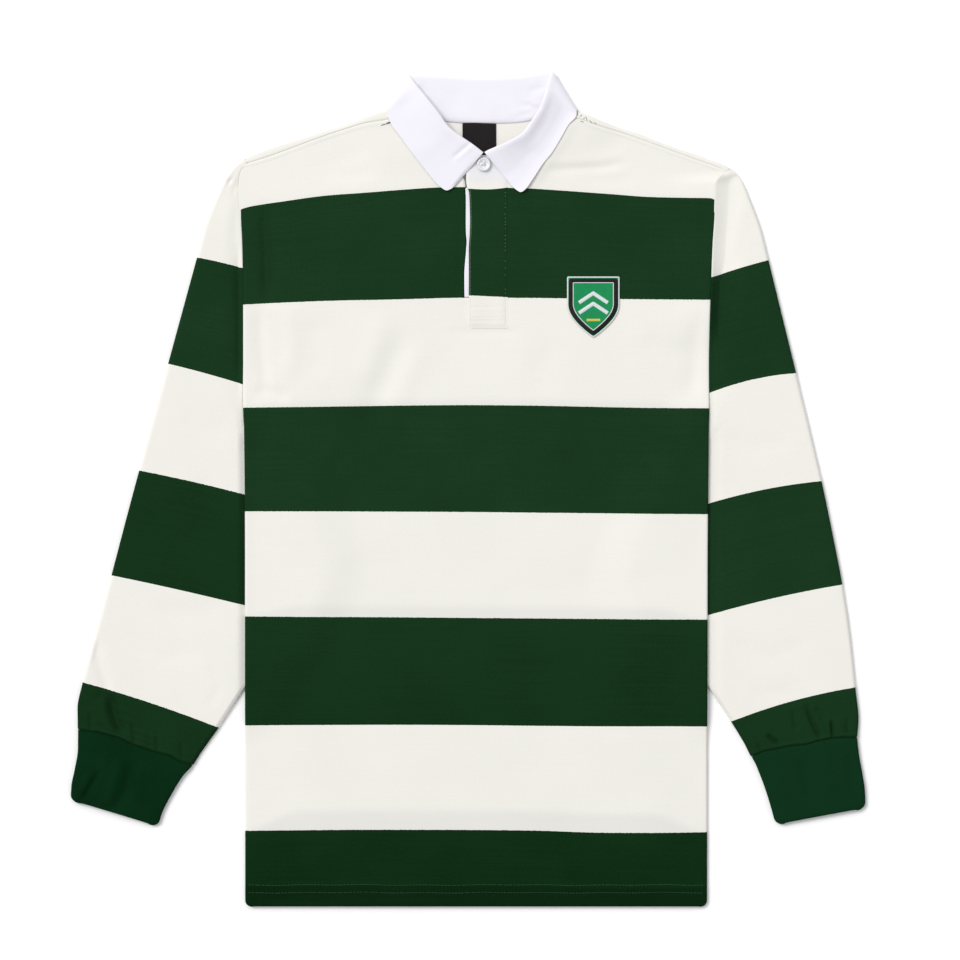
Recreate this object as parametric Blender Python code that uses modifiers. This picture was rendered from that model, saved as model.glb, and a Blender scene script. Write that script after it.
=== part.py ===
"""A long-sleeved rugby shirt with hoops, laid flat with its front up.

Metres, +Z up. The shirt lies on Z = 0 with its back down, its collar towards +Y and the wearer's right
at X < 0. The origin is under the middle of its outline. Every table below is in millimetres.

Layers at the sides, from the surface up: sleeve under, sleeve upper, back panel, front panel. In the
middle the back panel lies on the surface and the front panel lies on the back panel. The body is open at
the hem and closed along its sides, and each sleeve is sewn to the body from the shoulder fold down to the
underarm, then runs on as a closed tube, its inner half tucked behind the body.
"""

import math

import bmesh
import bpy
import numpy as np

MM = 0.001

# ---------------------------------------------------------------- driving sizes, mm
JERSEY = 1.2  # body and sleeve cloth
TWILL = 1.4  # collar, two plies
STRIP = 1.2  # placket strips
RIB = 2.4  # doubled rib of the cuffs
LABEL = 1.0
BADGE = 1.2
SEAM = 0.3  # gap between neighbouring pieces
LIE = 0.35  # gap between layers that lie on each other

LENGTH_HEM_Y = -395.1  # hem line
BODY_FOLD_R = 1.6  # bend of the side and shoulder folds, mid wall
SLEEVE_FOLD_R = 2.2  # bend along the sleeve's outer fold
UNDERARM_FOLD_R = 1.0  # bend of the sleeve's inner fold, pressed under the body
UNDERARM_Y = 56.0
CURL_ABOVE = 28.0  # the armhole's flat edges turn into the side fold over this length
TUCK_LIFT = 3.7  # how far the body is lifted over a tucked sleeve
COLLAR_LIFT = 2.7  # how far the body is lifted over the fall behind the neck
HEAD_CLEAR = 0.5  # more seam gap where the armhole seam turns over the shoulder fold
PUFF = 1.3  # air under the front

BUTTON_D, BUTTON_H, BUTTON_XY = 12.7, 2.4, (14.6, 307.4)
LABEL_X, LABEL_Y = (-5.6, 26.0), (307.0, 345.3)
SLOT_X, SLOT_Y = (-3.5, 33.0), 182.0
PLACKET_X, PLACKET_Y = (-0.5, 37.4), 152.2
BADGE_XY, BADGE_W, BADGE_L = (118.2, 172.6), 48.0, 56.0

# ---------------------------------------------------------------- tables, mm
# Body edge: the armhole from the shoulder fold to the underarm, then the side fold.
EDGE_RIGHT = [  # y, x  (wearer's right)
    (315.0, -210.4), (308.9, -212.0), (300.0, -216.4), (278.0, -218.3), (262.0, -216.2), (234.0, -214.4),
    (205.0, -213.8), (150.0, -213.5), (96.0, -213.5), (72.0, -213.1), (56.0, -212.6), (-60.0, -211.7),
    (-389.5, -211.7), (-393.3, -210.2), (-395.1, -206.4),
]  # fmt: skip
EDGE_LEFT = [  # y, x  (wearer's left)
    (303.6, 247.8), (299.5, 242.2), (288.8, 234.0), (278.0, 233.6), (262.0, 233.0), (234.0, 231.0),
    (205.0, 229.8), (150.0, 228.0), (96.0, 227.7), (72.0, 227.7), (56.0, 227.6), (-60.0, 226.6),
    (-389.5, 226.1), (-393.3, 224.6), (-395.1, 220.8),
]  # fmt: skip

# Shoulders: where the back panel folds over, and the seam that lies in front of that fold.
SHOULDER = [  # x, fold_y, seam_y
    (-210.4, 315.0, 308.9), (-192.7, 322.0, 314.2), (-167.1, 330.3, 323.5), (-142.9, 337.9, 332.7),
    (-118.8, 345.4, 340.9), (-98.0, 353.0, 346.9), (-77.2, 359.2, 350.2), (-71.0, 360.2, 352.0), (-49.0, 367.6, 360.0),
    (75.5, 369.0, 361.6), (97.0, 358.8, 352.0), (104.0, 357.4, 351.0), (117.0, 352.9, 346.6), (124.5, 349.9, 344.2),
    (143.5, 342.5, 338.8), (162.4, 336.8, 332.2), (181.3, 329.1, 325.5), (200.3, 322.4, 318.4), (219.2, 316.0, 311.6),
    (228.7, 312.2, 308.4), (238.2, 309.0, 304.9), (247.8, 303.6, 299.5),
]  # fmt: skip
NECK_FRONT = [  # x, y
    (-49.0, 360.0), (-40.0, 343.0), (-25.0, 327.0), (-3.5, 317.6), (15.0, 315.2), (33.0, 318.6),
    (52.0, 328.0), (66.0, 343.0), (75.5, 361.6),
]  # fmt: skip
NECK_BACK = [  # x, y
    (-49.0, 367.6), (-38.0, 357.8), (-25.0, 351.0), (-3.5, 348.4), (15.0, 347.8), (33.0, 348.1),
    (52.0, 349.2), (66.0, 357.5), (75.5, 369.0),
]  # fmt: skip

# Sleeves, shoulder to cuff. A row is one line across the sleeve, from its inner to its outer edge.
# in_x is None where the line starts at the armhole.
SLEEVE_RIGHT = [  # out_x, out_y, in_x, in_y
    (None, None, None, 308.9), (-217.8, 309.4, None, 305.0), (-224.4, 302.8, None, 300.0), (-231.3, 292.5, None, 278.0),
    (-240.0, 273.5, None, 262.0),
    (-247.6, 254.2, None, 234.0), (-257.8, 218.0, None, 205.0), (-271.9, 166.4, None, 150.0),
    (-286.0, 114.5, None, 96.0), (-292.4, 91.0, None, 72.0), (-296.6, 75.5, None, 56.0),
    (-300.3, 62.0, -214.4, 43.5), (-305.7, 42.0, -198.0, 16.0), (-312.2, 17.8, -172.0, -15.0),
    (-325.0, -30.0, -149.0, -70.0), (-338.5, -81.6, -168.0, -120.5), (-352.0, -132.0, -203.0, -173.0),
    (-365.7, -182.8, -237.4, -225.7), (-370.4, -207.2, -250.9, -244.7), (-370.3, -226.4, -261.5, -259.7),
]  # fmt: skip
SLEEVE_LEFT = [  # out_x, out_y, in_x, in_y
    (None, None, None, 299.5), (254.0, 298.3, None, 288.8), (260.3, 289.0, None, 278.0),
    (267.6, 272.0, None, 262.0),
    (276.8, 246.5, None, 234.0), (284.3, 217.2, None, 205.0), (297.3, 164.0, None, 150.0),
    (310.3, 111.0, None, 96.0), (315.5, 88.5, None, 72.0), (319.3, 73.0, None, 56.0),
    (322.5, 59.5, 229.6, 42.0), (327.5, 38.5, 213.0, 14.0), (334.7, 7.6, 188.0, -22.0),
    (345.0, -42.0, 166.0, -82.0), (354.4, -90.7, 187.5, -127.5), (361.5, -139.0, 219.5, -174.5),
    (366.7, -188.0, 249.3, -219.7), (369.5, -216.6, 261.0, -238.8), (368.4, -234.0, 268.1, -250.5),
]  # fmt: skip
# Cuffs, sleeve seam to opening.
CUFF_RIGHT = [  # out_x, out_y, in_x, in_y
    (-370.0, -226.9, -261.5, -260.2), (-370.2, -245.9, -272.0, -273.4), (-373.2, -264.9, -282.3, -290.4),
    (-376.3, -281.0, -290.0, -305.6), (-376.8, -294.1, -294.2, -318.4),
]  # fmt: skip
CUFF_LEFT = [  # out_x, out_y, in_x, in_y
    (368.2, -234.5, 268.3, -251.0), (370.3, -252.6, 274.4, -265.8), (373.4, -269.6, 280.9, -282.9),
    (375.6, -284.8, 286.2, -299.9), (376.4, -301.6, 291.0, -316.9),
]  # fmt: skip

# Collar: the wall runs from its base (b) up to the roll (r) and over to its outer edge (e).
# turn is where the fall lies: 1 on top, 0 at the fold beside the neck, -1 underneath.
# b_up and e_up are mid wall heights above the panel's mid wall, or above the surface where turn < 0.
COLLAR = [  # bx, by, b_up, rx, ry, rz, ex, ey, e_up, turn
    (11.0, 313.3, 3.1, 13.7, 318.2, 11.2, -18.0, 283.8, 2.5, 1),
    (4.5, 312.5, 3.1, 8.6, 322.2, 11.5, -26.6, 284.8, 2.4, 1),
    (-6.5, 315.0, 3.1, 2.4, 326.8, 11.8, -35.5, 294.8, 2.1, 1),
    (-19.5, 321.5, 2.2, -6.3, 332.6, 12.2, -42.5, 304.2, 1.7, 1),
    (-34.0, 332.5, 1.7, -20.8, 342.8, 13.2, -54.5, 320.0, 1.7, 1),
    (-43.5, 344.5, 1.7, -31.0, 355.8, 13.6, -64.5, 334.0, 1.7, 1),
    (-49.0, 356.0, 1.7, -39.5, 366.5, 13.0, -73.0, 345.6, 1.7, 1),
    (-50.6, 362.0, 2.0, -45.5, 374.5, 11.8, -76.4, 353.5, 1.7, 1),
    (-50.4, 366.3, 2.4, -50.5, 382.5, 10.0, -77.0, 357.2, 1.7, 0.85),
    (-50.0, 370.6, 0.9, -54.6, 389.0, 8.0, -77.3, 359.9, 0.8, 0.5),
    (-48.4, 372.4, 0.0, -56.7, 391.7, 5.2, -77.3, 360.9, 0.0, 0),
    (-46.0, 370.0, 5.0, -54.5, 391.9, 3.6, -76.4, 359.4, 2.2, -0.5),
    (-44.0, 365.0, 4.9, -50.0, 391.8, 2.9, -74.8, 355.4, 0.85, -0.9),
    (-37.0, 356.6, 4.9, -40.0, 391.2, 2.8, -62.0, 346.8, 0.85, -1),
    (-21.0, 347.8, 4.9, -20.0, 390.2, 2.8, -36.5, 342.1, 0.85, -1),
    (14.7, 345.8, 4.9, 14.0, 389.0, 2.8, 10.9, 339.3, 0.85, -1),
    (46.0, 346.8, 4.9, 45.0, 389.9, 2.8, 58.2, 342.1, 0.85, -1),
    (62.5, 351.0, 4.9, 60.0, 392.2, 2.8, 86.5, 346.8, 0.85, -1),
    (70.4, 364.0, 4.9, 71.0, 394.4, 2.9, 99.2, 354.8, 0.85, -0.9),
    (72.6, 370.5, 5.0, 76.4, 395.3, 3.6, 101.0, 359.2, 2.0, -0.5),
    (75.0, 373.4, 0.0, 78.5, 394.8, 5.2, 101.5, 360.3, 0.0, 0),
    (76.8, 372.4, 0.9, 77.2, 391.0, 8.0, 101.6, 358.4, 0.8, 0.5),
    (77.4, 368.0, 2.4, 75.0, 382.5, 10.0, 102.2, 355.8, 1.7, 0.85),
    (77.6, 363.5, 2.0, 72.0, 371.5, 11.8, 101.4, 352.3, 1.7, 1),
    (75.6, 356.0, 1.7, 67.0, 359.0, 13.0, 95.2, 345.6, 1.7, 1),
    (69.5, 344.0, 1.7, 60.4, 348.6, 13.6, 87.0, 331.5, 1.7, 1),
    (61.0, 332.0, 1.7, 51.7, 336.9, 13.2, 79.0, 318.5, 1.7, 1),
    (47.0, 322.0, 2.6, 37.2, 328.2, 12.2, 70.6, 308.1, 2.0, 1),
    (34.0, 316.2, 3.1, 27.0, 323.8, 11.8, 58.9, 290.5, 2.4, 1),
    (25.5, 313.6, 3.1, 20.6, 321.2, 11.5, 51.0, 281.2, 2.6, 1),
    (19.0, 313.3, 3.1, 15.4, 318.4, 11.2, 44.4, 284.1, 2.6, 1),
]  # fmt: skip
ROLL_R = 1.3  # bend of the collar's roll, mid wall
COLLAR_OUT_RIGHT = (-0.837, 0.546)  # across the fold beside the neck, away from it
COLLAR_OUT_LEFT = (0.841, 0.541)

# Columns across the body (x at the underarm's height) and rows up to the armhole's top.
COLUMNS = [-198, -180, -158, -132, -105, -77, -49, -38, -25, -3.5, 15, 33, 52, 66, 75.5, 106, 140, 170, 193, 212]  # fmt: skip
ARMHOLE_MID = (300.0, 288.8)  # a row's height at the two armholes, above the last level row
ROWS = [-395.1, -393.3, -389.5, -335, -275, -215, -172, -125, -80, -35, 5, 32, 56, 72, 96, 150, 182, 205, 234, 262, 278]


# ---------------------------------------------------------------- helpers
def smooth(t):
    """0 to 1 with no corner at either end."""
    t = min(max(t, 0.0), 1.0)
    return t * t * (3.0 - 2.0 * t)


def mix(a, b, t):
    return a + (b - a) * t


def along(rows, key, column=1):
    """Reads a table's column at a value of its first one."""
    rows = sorted(rows)
    return float(np.interp(key, [r[0] for r in rows], [r[column] for r in rows]))


def outside(x, y, outline):
    """How far a point lies outside a closed outline, 0 inside it."""
    inside, nearest = False, 1e9
    for (ax, ay), (bx, by) in zip(outline, outline[1:] + outline[:1]):
        if (ay > y) != (by > y) and x < ax + (y - ay) * (bx - ax) / (by - ay):
            inside = not inside
        dx, dy = bx - ax, by - ay
        t = min(max(((x - ax) * dx + (y - ay) * dy) / (dx * dx + dy * dy), 0.0), 1.0)
        nearest = min(nearest, math.hypot(x - ax - t * dx, y - ay - t * dy))
    return 0.0 if inside else nearest


def material(name, colour, roughness=0.85):
    made = bpy.data.materials.new(name)
    made.use_nodes = True
    shader = made.node_tree.nodes["Principled BSDF"]
    shader.inputs["Base Color"].default_value = (*colour, 1.0)
    shader.inputs["Roughness"].default_value = roughness
    shader.inputs["Metallic"].default_value = 0.0
    made.diffuse_color = (*colour, 1.0)
    return made


def shell(name, points, thickness, look, without=()):
    """A cloth wall on a grid of mid wall points, points[row][column] in mm. without lists (row, column)
    cells that are left out. Columns that meet are welded, so a grid can close into a tube."""
    rows, columns = len(points), len(points[0])
    bm = bmesh.new()
    bmesh.ops.create_grid(bm, x_segments=columns - 1, y_segments=rows - 1, size=1.0)
    order = sorted(bm.verts, key=lambda v: (round(v.co.y, 5), round(v.co.x, 5)))
    for i, vert in enumerate(order):
        vert.index = i
    bm.verts.sort()
    bm.verts.ensure_lookup_table()
    gone = []
    for face in bm.faces:
        low = min(v.index for v in face.verts)
        if (low // columns, low % columns) in without:
            gone.append(face)
    for i, vert in enumerate(bm.verts):
        vert.co = [c * MM for c in points[i // columns][i % columns]]
    bmesh.ops.delete(bm, geom=gone, context="FACES")
    bmesh.ops.remove_doubles(bm, verts=bm.verts, dist=1e-6)
    mesh = bpy.data.meshes.new(name)
    bm.to_mesh(mesh)
    bm.free()
    mesh.shade_smooth()
    mesh.materials.append(look)
    made = bpy.data.objects.new(name, mesh)
    shirt.objects.link(made)
    wall = made.modifiers.new("wall", "SOLIDIFY")
    wall.thickness = thickness * MM
    wall.offset = 0.0
    return made


# ---------------------------------------------------------------- the lie of the body
def tucked(rows, edge):
    """Outline of the part of a sleeve that lies behind the body."""
    inner = [(x, y) for _, _, x, y in rows if x is not None and abs(x) < abs(along(edge, y))]
    low = min(y for _, y in inner) - 16.0
    beyond = 8.0 if edge[0][1] > 0 else -8.0
    return [(along(edge, 56.0) + beyond, 58.0), *inner, (along(edge, low) + beyond, low)]


TUCK_RIGHT = tucked(SLEEVE_RIGHT, EDGE_RIGHT)
TUCK_LEFT = tucked(SLEEVE_LEFT, EDGE_LEFT)
FALL_BEHIND = [(-78.0, 362.0), (-66.0, 346.0), (-36.0, 340.0), (11.0, 337.5), (58.0, 340.0), (90.0, 345.0), (103.0, 361.0), (80.0, 396.0), (-58.0, 393.0)]  # fmt: skip


def lift(x, y):
    """How far the back panel is lifted by what lies under it."""
    over_sleeve = min(outside(x, y, TUCK_RIGHT), outside(x, y, TUCK_LEFT))
    over_fall = outside(x, y, FALL_BEHIND)
    return max(
        TUCK_LIFT * (1.0 - smooth((over_sleeve - 12.0) / 45.0)),
        COLLAR_LIFT * (1.0 - smooth((over_fall - 14.0) / 40.0)),
    )


def back_z(x, y):
    """Mid wall height of the back panel."""
    return JERSEY / 2 + lift(x, y)


def front_z(x, y):
    """Mid wall height of the front panel: a fold's width above the back, and a little air in the middle."""
    in_from_side = min(x - along(EDGE_RIGHT, y), along(EDGE_LEFT, y) - x)
    neck = NECK_FRONT[0][0] < x < NECK_FRONT[-1][0]
    in_from_end = min(y - LENGTH_HEM_Y, (along(NECK_FRONT, x) if neck else along(SHOULDER, x, 2)) - y)
    air = PUFF * smooth((in_from_side - 3.0) / 70.0) * smooth(in_from_end / 60.0)
    return back_z(x, y) + 2 * BODY_FOLD_R + air


def curl(y):
    """0 where the body's edge is a flat armhole seam, 1 where it is a side fold."""
    return smooth((UNDERARM_Y + CURL_ABOVE - y) / CURL_ABOVE)


def edge_line(y, sign):
    return along(EDGE_RIGHT if sign < 0 else EDGE_LEFT, y)


def edge_steps(c):
    """The last four mid wall points before a body edge: how far in from it, and how far towards the other
    panel, for an edge turned by c."""
    flat = [(SEAM / 2, 0.0), (0.8, 0.0), (1.6, 0.0), (2.6, 0.0)]
    r, half = BODY_FOLD_R, JERSEY / 2
    bent = [(half, r - SEAM / 2), (half, r - 0.65), (half + 0.3 * r, 0.18 * r), (half + 1.06 * r, 0.0)]
    return [(mix(f[0], b[0], c), mix(f[1], b[1], c)) for f, b in zip(flat, bent)]


def column_x(u, y):
    """A column's x at height y: columns follow the body's edges near them and run straight in the middle."""
    if u < 0:
        return u + smooth((-u - 50.0) / 162.0) * (edge_line(y, -1) + 212.0)
    return u + smooth((u - 80.0) / 147.0) * (edge_line(y, 1) - 227.0)


def body_row(y, z_of, side, tops=None, edges=None):
    """One row of a body panel. side is -1 for the front, whose edges turn down, and 1 for the back. Where
    the row isn't level, tops gives its y as a function of x and edges gives it at the two edges."""
    tops = tops or (lambda x: y)
    row = []
    for sign in (-1, 1):
        height = y if edges is None else edges[(sign + 1) // 2]
        edge = []
        for inward, towards in edge_steps(curl(height)):
            px = edge_line(height, sign) - sign * inward
            edge.append((px, height, z_of(px, height) + side * towards))
        if sign < 0:
            row += edge
            for u in COLUMNS:
                px = column_x(u, y)
                row.append((px, tops(px), z_of(px, tops(px))))
        else:
            row += reversed(edge)
    return row


def at_edges(column):
    """A row's y at the two edges, read from the ends of the shoulder table."""
    return SHOULDER[0][column], SHOULDER[-1][column]


def rows_to(z_of, side, tops, *lines):
    """All level rows, one about half way from the last of them to the top, and each of the lines given as
    (tops, edges)."""
    last = ROWS[-1]
    rows = [body_row(y, z_of, side) for y in ROWS]
    rows.append(body_row(last + 14.0, z_of, side, lambda x: mix(last, tops(x), 0.5), ARMHOLE_MID))
    for k, (line, edges) in enumerate(lines):
        rows.append(body_row(last + 30.0 + 3.0 * k, z_of, side, line, edges))
    return rows


# ---------------------------------------------------------------- body panels
def make_front(look):
    def tops(x):
        if NECK_FRONT[0][0] < x < NECK_FRONT[-1][0]:
            return along(NECK_FRONT, x) - SEAM / 2
        return along(SHOULDER, x, 2) - SEAM / 2

    points = rows_to(front_z, -1, tops, (tops, [y - SEAM / 2 for y in at_edges(2)]))
    first = 4 + COLUMNS.index(SLOT_X[0])
    last = 4 + COLUMNS.index(SLOT_X[1])
    bottom = ROWS.index(SLOT_Y)
    slot = {(r, c) for r in range(bottom, len(points)) for c in range(first, last)}
    return shell("front_panel", points, JERSEY, look, slot)


def make_back(look):
    neck = (NECK_BACK[0][0], NECK_BACK[-1][0])
    r, half = BODY_FOLD_R, JERSEY / 2

    def tops(x):
        if neck[0] < x < neck[1]:
            return along(NECK_BACK, x)
        return along(SHOULDER, x, 1) - half - r

    def seam(x):
        return min(along(SHOULDER, x, 2) - SEAM / 2, tops(x) - 1.5)

    seam_edges = [y - SEAM / 2 for y in at_edges(2)]
    fold_edges = [y - half - r for y in at_edges(1)]
    points = rows_to(back_z, 1, tops, (seam, seam_edges), (tops, fold_edges))
    # Over the shoulder: round the fold, then flat to the seam in front of it.
    top = points[-1]

    def over(dy, dz, to_seam=False):
        row = []
        for k, (x, y, z) in enumerate(top):
            y = along(SHOULDER, x, 2) + SEAM / 2 if to_seam else y + dy
            sign = -1 if x < 0 else 1
            if k < 4 or k >= len(top) - 4:
                if to_seam:
                    y = seam_edges[(sign + 1) // 2] + SEAM
                x = edge_line(y, sign) - sign * edge_steps(0.0)[min(k, len(top) - 1 - k)][0]
            row.append((x, y, z + dz))
        return row

    for angle in (45, 90, 135, 180):
        a = math.radians(angle)
        points.append(over(r * math.sin(a), r * (1 - math.cos(a))))
    points.append(over(0.0, 2 * r, True))
    base = len(ROWS) + 2
    first = 4 + COLUMNS.index(neck[0])
    last = 4 + COLUMNS.index(neck[1])
    open_neck = {(row, c) for row in range(base, len(points) - 1) for c in range(first, last)}
    return shell("back_panel", points, JERSEY, look, open_neck)


# ---------------------------------------------------------------- sleeves and cuffs
def fold_arc(r, steps):
    return [(r * math.sin(a), r * math.cos(a)) for a in np.linspace(0.0, math.pi, steps)]


def make_sleeve(name, rows, edge, look):
    sign = 1 if edge[0][1] > 0 else -1
    half = JERSEY / 2
    fold_top = edge[0][0]
    points = []
    for i, (ox, oy, ix, iy) in enumerate(rows):
        closed = ix is not None
        c = 1.0 if closed else curl(iy)
        if i == 0:
            # The first line lies along the armhole seam, up to the shoulder fold.
            width = fold_top - iy

            def at(d, iy=iy, width=width):
                clear = SEAM / 2 + HEAD_CLEAR * smooth(d / width)
                return along(edge, iy + d) + sign * clear, iy + d

        else:
            if not closed:
                ix = along(edge, iy) + sign * (SEAM / 2 + (SEAM / 2 + half) * c)
            width = math.hypot(ox - ix, oy - iy)

            def at(d, ix=ix, iy=iy, ox=ox, oy=oy, width=width):
                return mix(ix, ox, d / width), mix(iy, oy, d / width)

        r_out = mix(BODY_FOLD_R, SLEEVE_FOLD_R, smooth(i / 3.0))
        low, high = half, half + 2 * r_out
        # Heights at the inner edge, upper and under layer.
        if closed:
            middle, bend = half + UNDERARM_FOLD_R, UNDERARM_FOLD_R
        else:
            bx = along(edge, iy) - sign * 0.5
            middle, bend = back_z(bx, iy) + BODY_FOLD_R, BODY_FOLD_R - c * (BODY_FOLD_R - SEAM / 2)
            if c == 1.0:
                bend = 1.5 * UNDERARM_FOLD_R
        in_high, in_low = middle + bend, middle - bend
        # The line's share that the body covers, which stays pressed down.
        if closed:
            hidden = abs(along(edge, iy)) + 4.0 - abs(ix)
            pressed = max(hidden / (width * abs(ox - ix) / width), 0.2)
        else:
            pressed = 0.25
        start, end = (bend if c == 1.0 else min(2.6, 0.2 * width)), width - half - r_out
        shares = [0.5 * pressed, pressed, mix(pressed, 1.0, 0.22), mix(pressed, 1.0, 0.6)]
        step = min(1.0, 0.14 * end)
        spans = [max(mix(0.0, width, s), start + step * (k + 1)) for k, s in enumerate(shares)]
        spans = [min(s, end - step * (len(spans) - k)) for k, s in enumerate(spans)]
        if i == 0:
            start, spans = 0.2 * end, [t * end for t in (0.36, 0.52, 0.68, 0.84)]

        upper, under = [], []
        if c == 1.0:
            for dx, dz in reversed(fold_arc(bend, 5)[:3]):
                upper.append((*at(bend - dx), middle + dz))
                under.append((*at(bend - dx), middle - dz))
        else:
            for d in (0.0, start * 0.4, start):
                upper.append((*at(d), in_high))
                under.append((*at(d), in_low))
        for k, d in enumerate(spans):
            rise = (0.0, 0.0, 0.75, 1.0)[k] if closed else smooth(d / (0.5 * width))
            sink = 1.0 if closed else smooth(d / min(0.4 * width, 30.0))
            upper.append((*at(d), mix(in_high, high, rise)))
            under.append((*at(d), mix(in_low, low, sink)))
        arc = [(*at(end + dx), low + r_out + dz) for dx, dz in fold_arc(r_out, 5)]
        points.append(upper + arc + under[::-1])
    return shell(name, points, JERSEY, look)


def make_cuff(name, rows, look):
    half, r_in, r_out, high = RIB / 2, 1.7, 2.0, 0.0
    points = []
    for ox, oy, ix, iy in rows:
        width = math.hypot(ox - ix, oy - iy)

        def at(d, ix=ix, iy=iy, ox=ox, oy=oy, width=width):
            return mix(ix, ox, d / width), mix(iy, oy, d / width)

        start, end = half + r_in, width - half - r_out
        inner = [(*at(start - dx), half + r_in + dz) for dx, dz in fold_arc(r_in, 5)]
        outer = [(*at(end + dx), half + r_out + dz) for dx, dz in fold_arc(r_out, 5)]
        upper = [(*at(mix(start, end, t)), half + 2 * mix(r_in, r_out, t) + 0.4) for t in (0.3, 0.7)]
        under = [(*at(mix(start, end, t)), half) for t in (0.7, 0.3)]
        ring = inner[2::-1] + upper + outer + under + inner[:1:-1]
        points.append(ring)
    return shell(name, points, RIB, look)


# ---------------------------------------------------------------- collar
def make_collar(look):
    points = []
    for bx, by, b_up, rx, ry, rz, ex, ey, e_up, turn in COLLAR:
        angle = math.radians(90.0 * turn)
        out = COLLAR_OUT_RIGHT if rx < 12.0 else COLLAR_OUT_LEFT
        n = np.array((out[0] * math.cos(angle), out[1] * math.cos(angle), math.sin(angle)))
        if turn > 0:
            bz, ez = front_z(bx, by) + b_up, front_z(ex, ey) + e_up
        elif turn < 0:
            bz, ez = b_up, e_up
        else:
            bz, ez = 5.6, 4.6
        base, roll, edge = np.array((bx, by, bz)), np.array((rx, ry, rz)), np.array((ex, ey, ez))
        to_base = (base - roll) / np.linalg.norm(base - roll)
        to_edge = (edge - roll) / np.linalg.norm(edge - roll)
        r = ROLL_R if turn > -0.5 else 2.0
        stand = roll + to_base * r - n * r
        fall = roll + to_edge * r + n * r
        middle = (to_base + to_edge) / 2
        bend = [roll + middle * 0.3 * r - n * 0.72 * r, roll, roll + middle * 0.3 * r + n * 0.72 * r]
        line = [base, mix(base, stand, 0.5), stand, *bend, fall]
        line += [mix(fall, edge, t) for t in (0.33, 0.67, 1.0)]
        points.append([tuple(p) for p in line])
    return shell("collar", points, TWILL, look)


# ---------------------------------------------------------------- what lies on the body
def sheet_on(name, xs, ys, height, thickness, look):
    """A strip on a panel, made from the panel's own points and moved out by height."""
    points = [[(x, y, height(x, y)) for x in xs] for y in ys]
    return shell(name, points, thickness, look)


def make_button(look):
    x, y = BUTTON_XY
    z = front_z(x, y) + JERSEY / 2 + LIE + STRIP + 2 * LIE
    r, h = BUTTON_D / 2, BUTTON_H
    profile = [(0.0, h * 0.62), (r * 0.55, h * 0.62), (r * 0.68, h * 0.9), (r * 0.82, h), (r * 0.95, h * 0.85), (r, h * 0.5), (r * 0.93, h * 0.12), (r * 0.8, 0.0), (0.0, 0.0)]  # fmt: skip
    mesh = bpy.data.meshes.new("button")
    mesh.from_pydata([(a * MM, 0.0, b * MM) for a, b in profile], [(i, i + 1) for i in range(len(profile) - 1)], [])
    made = bpy.data.objects.new("button", mesh)
    shirt.objects.link(made)
    made.location = (x * MM, y * MM, z * MM)
    mesh.materials.append(look)
    turn = made.modifiers.new("turn", "SCREW")
    turn.steps = turn.render_steps = 24
    turn.screw_offset = 0.0
    turn.use_merge_vertices = True
    turn.merge_threshold = 0.00001
    turn.use_normal_calculate = True
    return made


def badge_half_width(t):
    """Half width of the badge at t, from 0 at its foot to 1 at its top: straight sides on a pointed foot."""
    return BADGE_W / 2 * (math.sin(min(t / 0.55, 1.0) * math.pi / 2) ** 0.9)


def make_badge(look):
    cx, cy = BADGE_XY
    points = []
    for t in (0.03, 0.12, 0.24, 0.38, 0.55, 0.78, 1.0):
        y = cy + BADGE_L * (t - 0.5)
        w = badge_half_width(t)
        row = []
        for s in (-1.0, -0.5, 0.0, 0.5, 1.0):
            x = cx + s * w
            row.append((x, y, front_z(x, y) + JERSEY / 2 + LIE + BADGE / 2 + 0.1))
        points.append(row)
    return shell("chest_patch", points, BADGE, look)


# ---------------------------------------------------------------- build
for old in list(bpy.data.objects):
    bpy.data.objects.remove(old, do_unlink=True)
shirt = bpy.data.collections.new("rugby_shirt")
bpy.context.scene.collection.children.link(shirt)

green = material("hooped_jersey", (0.012, 0.042, 0.016), 0.9)
rib_green = material("rib_knit", (0.006, 0.032, 0.014), 0.9)
white = material("white_twill", (0.86, 0.86, 0.88), 0.8)
black = material("label_black", (0.017, 0.014, 0.015), 0.7)
badge_look = material("badge", (0.02, 0.05, 0.02), 0.8)
gloss = material("button_white", (0.88, 0.88, 0.86), 0.15)

make_back(green)
make_front(green)
make_sleeve("sleeve_right", SLEEVE_RIGHT, EDGE_RIGHT, green)
make_sleeve("sleeve_left", SLEEVE_LEFT, EDGE_LEFT, green)
make_cuff("cuff_right", CUFF_RIGHT, rib_green)
make_cuff("cuff_left", CUFF_LEFT, rib_green)
make_collar(white)
UNDER_Y = [SLOT_Y + SEAM, 205, 234, 262, 285, 300, 311.5]
sheet_on("placket_under", [SLOT_X[0] + SEAM, 15, SLOT_X[1] - SEAM], UNDER_Y, front_z, STRIP, white)
TOP_Y = [PLACKET_Y, 182, 205, 234, 262, 285, 300, 312.0]
sheet_on(
    "placket_top",
    [PLACKET_X[0], 15, 33, PLACKET_X[1]],
    TOP_Y,
    lambda x, y: front_z(x, y) + JERSEY / 2 + LIE + STRIP / 2,
    STRIP,
    green,
)
sheet_on(
    "neck_label",
    [LABEL_X[0], 15, LABEL_X[1]],
    [LABEL_Y[0], 320, 333, LABEL_Y[1]],
    lambda x, y: back_z(x, y) + JERSEY / 2 + LIE + LABEL / 2,
    LABEL,
    black,
)
make_badge(badge_look)
make_button(gloss)
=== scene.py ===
"""The finished look of the rugby shirt that lies flat: cloth shells with their folds, hooped jersey, ribbed cuffs,
twill collar, plackets, stitches, label, patch and button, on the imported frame.

All tables are in millimetres, or in picture units where a name says px: 960 across, which place() turns into mm.
"""

import math

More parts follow.
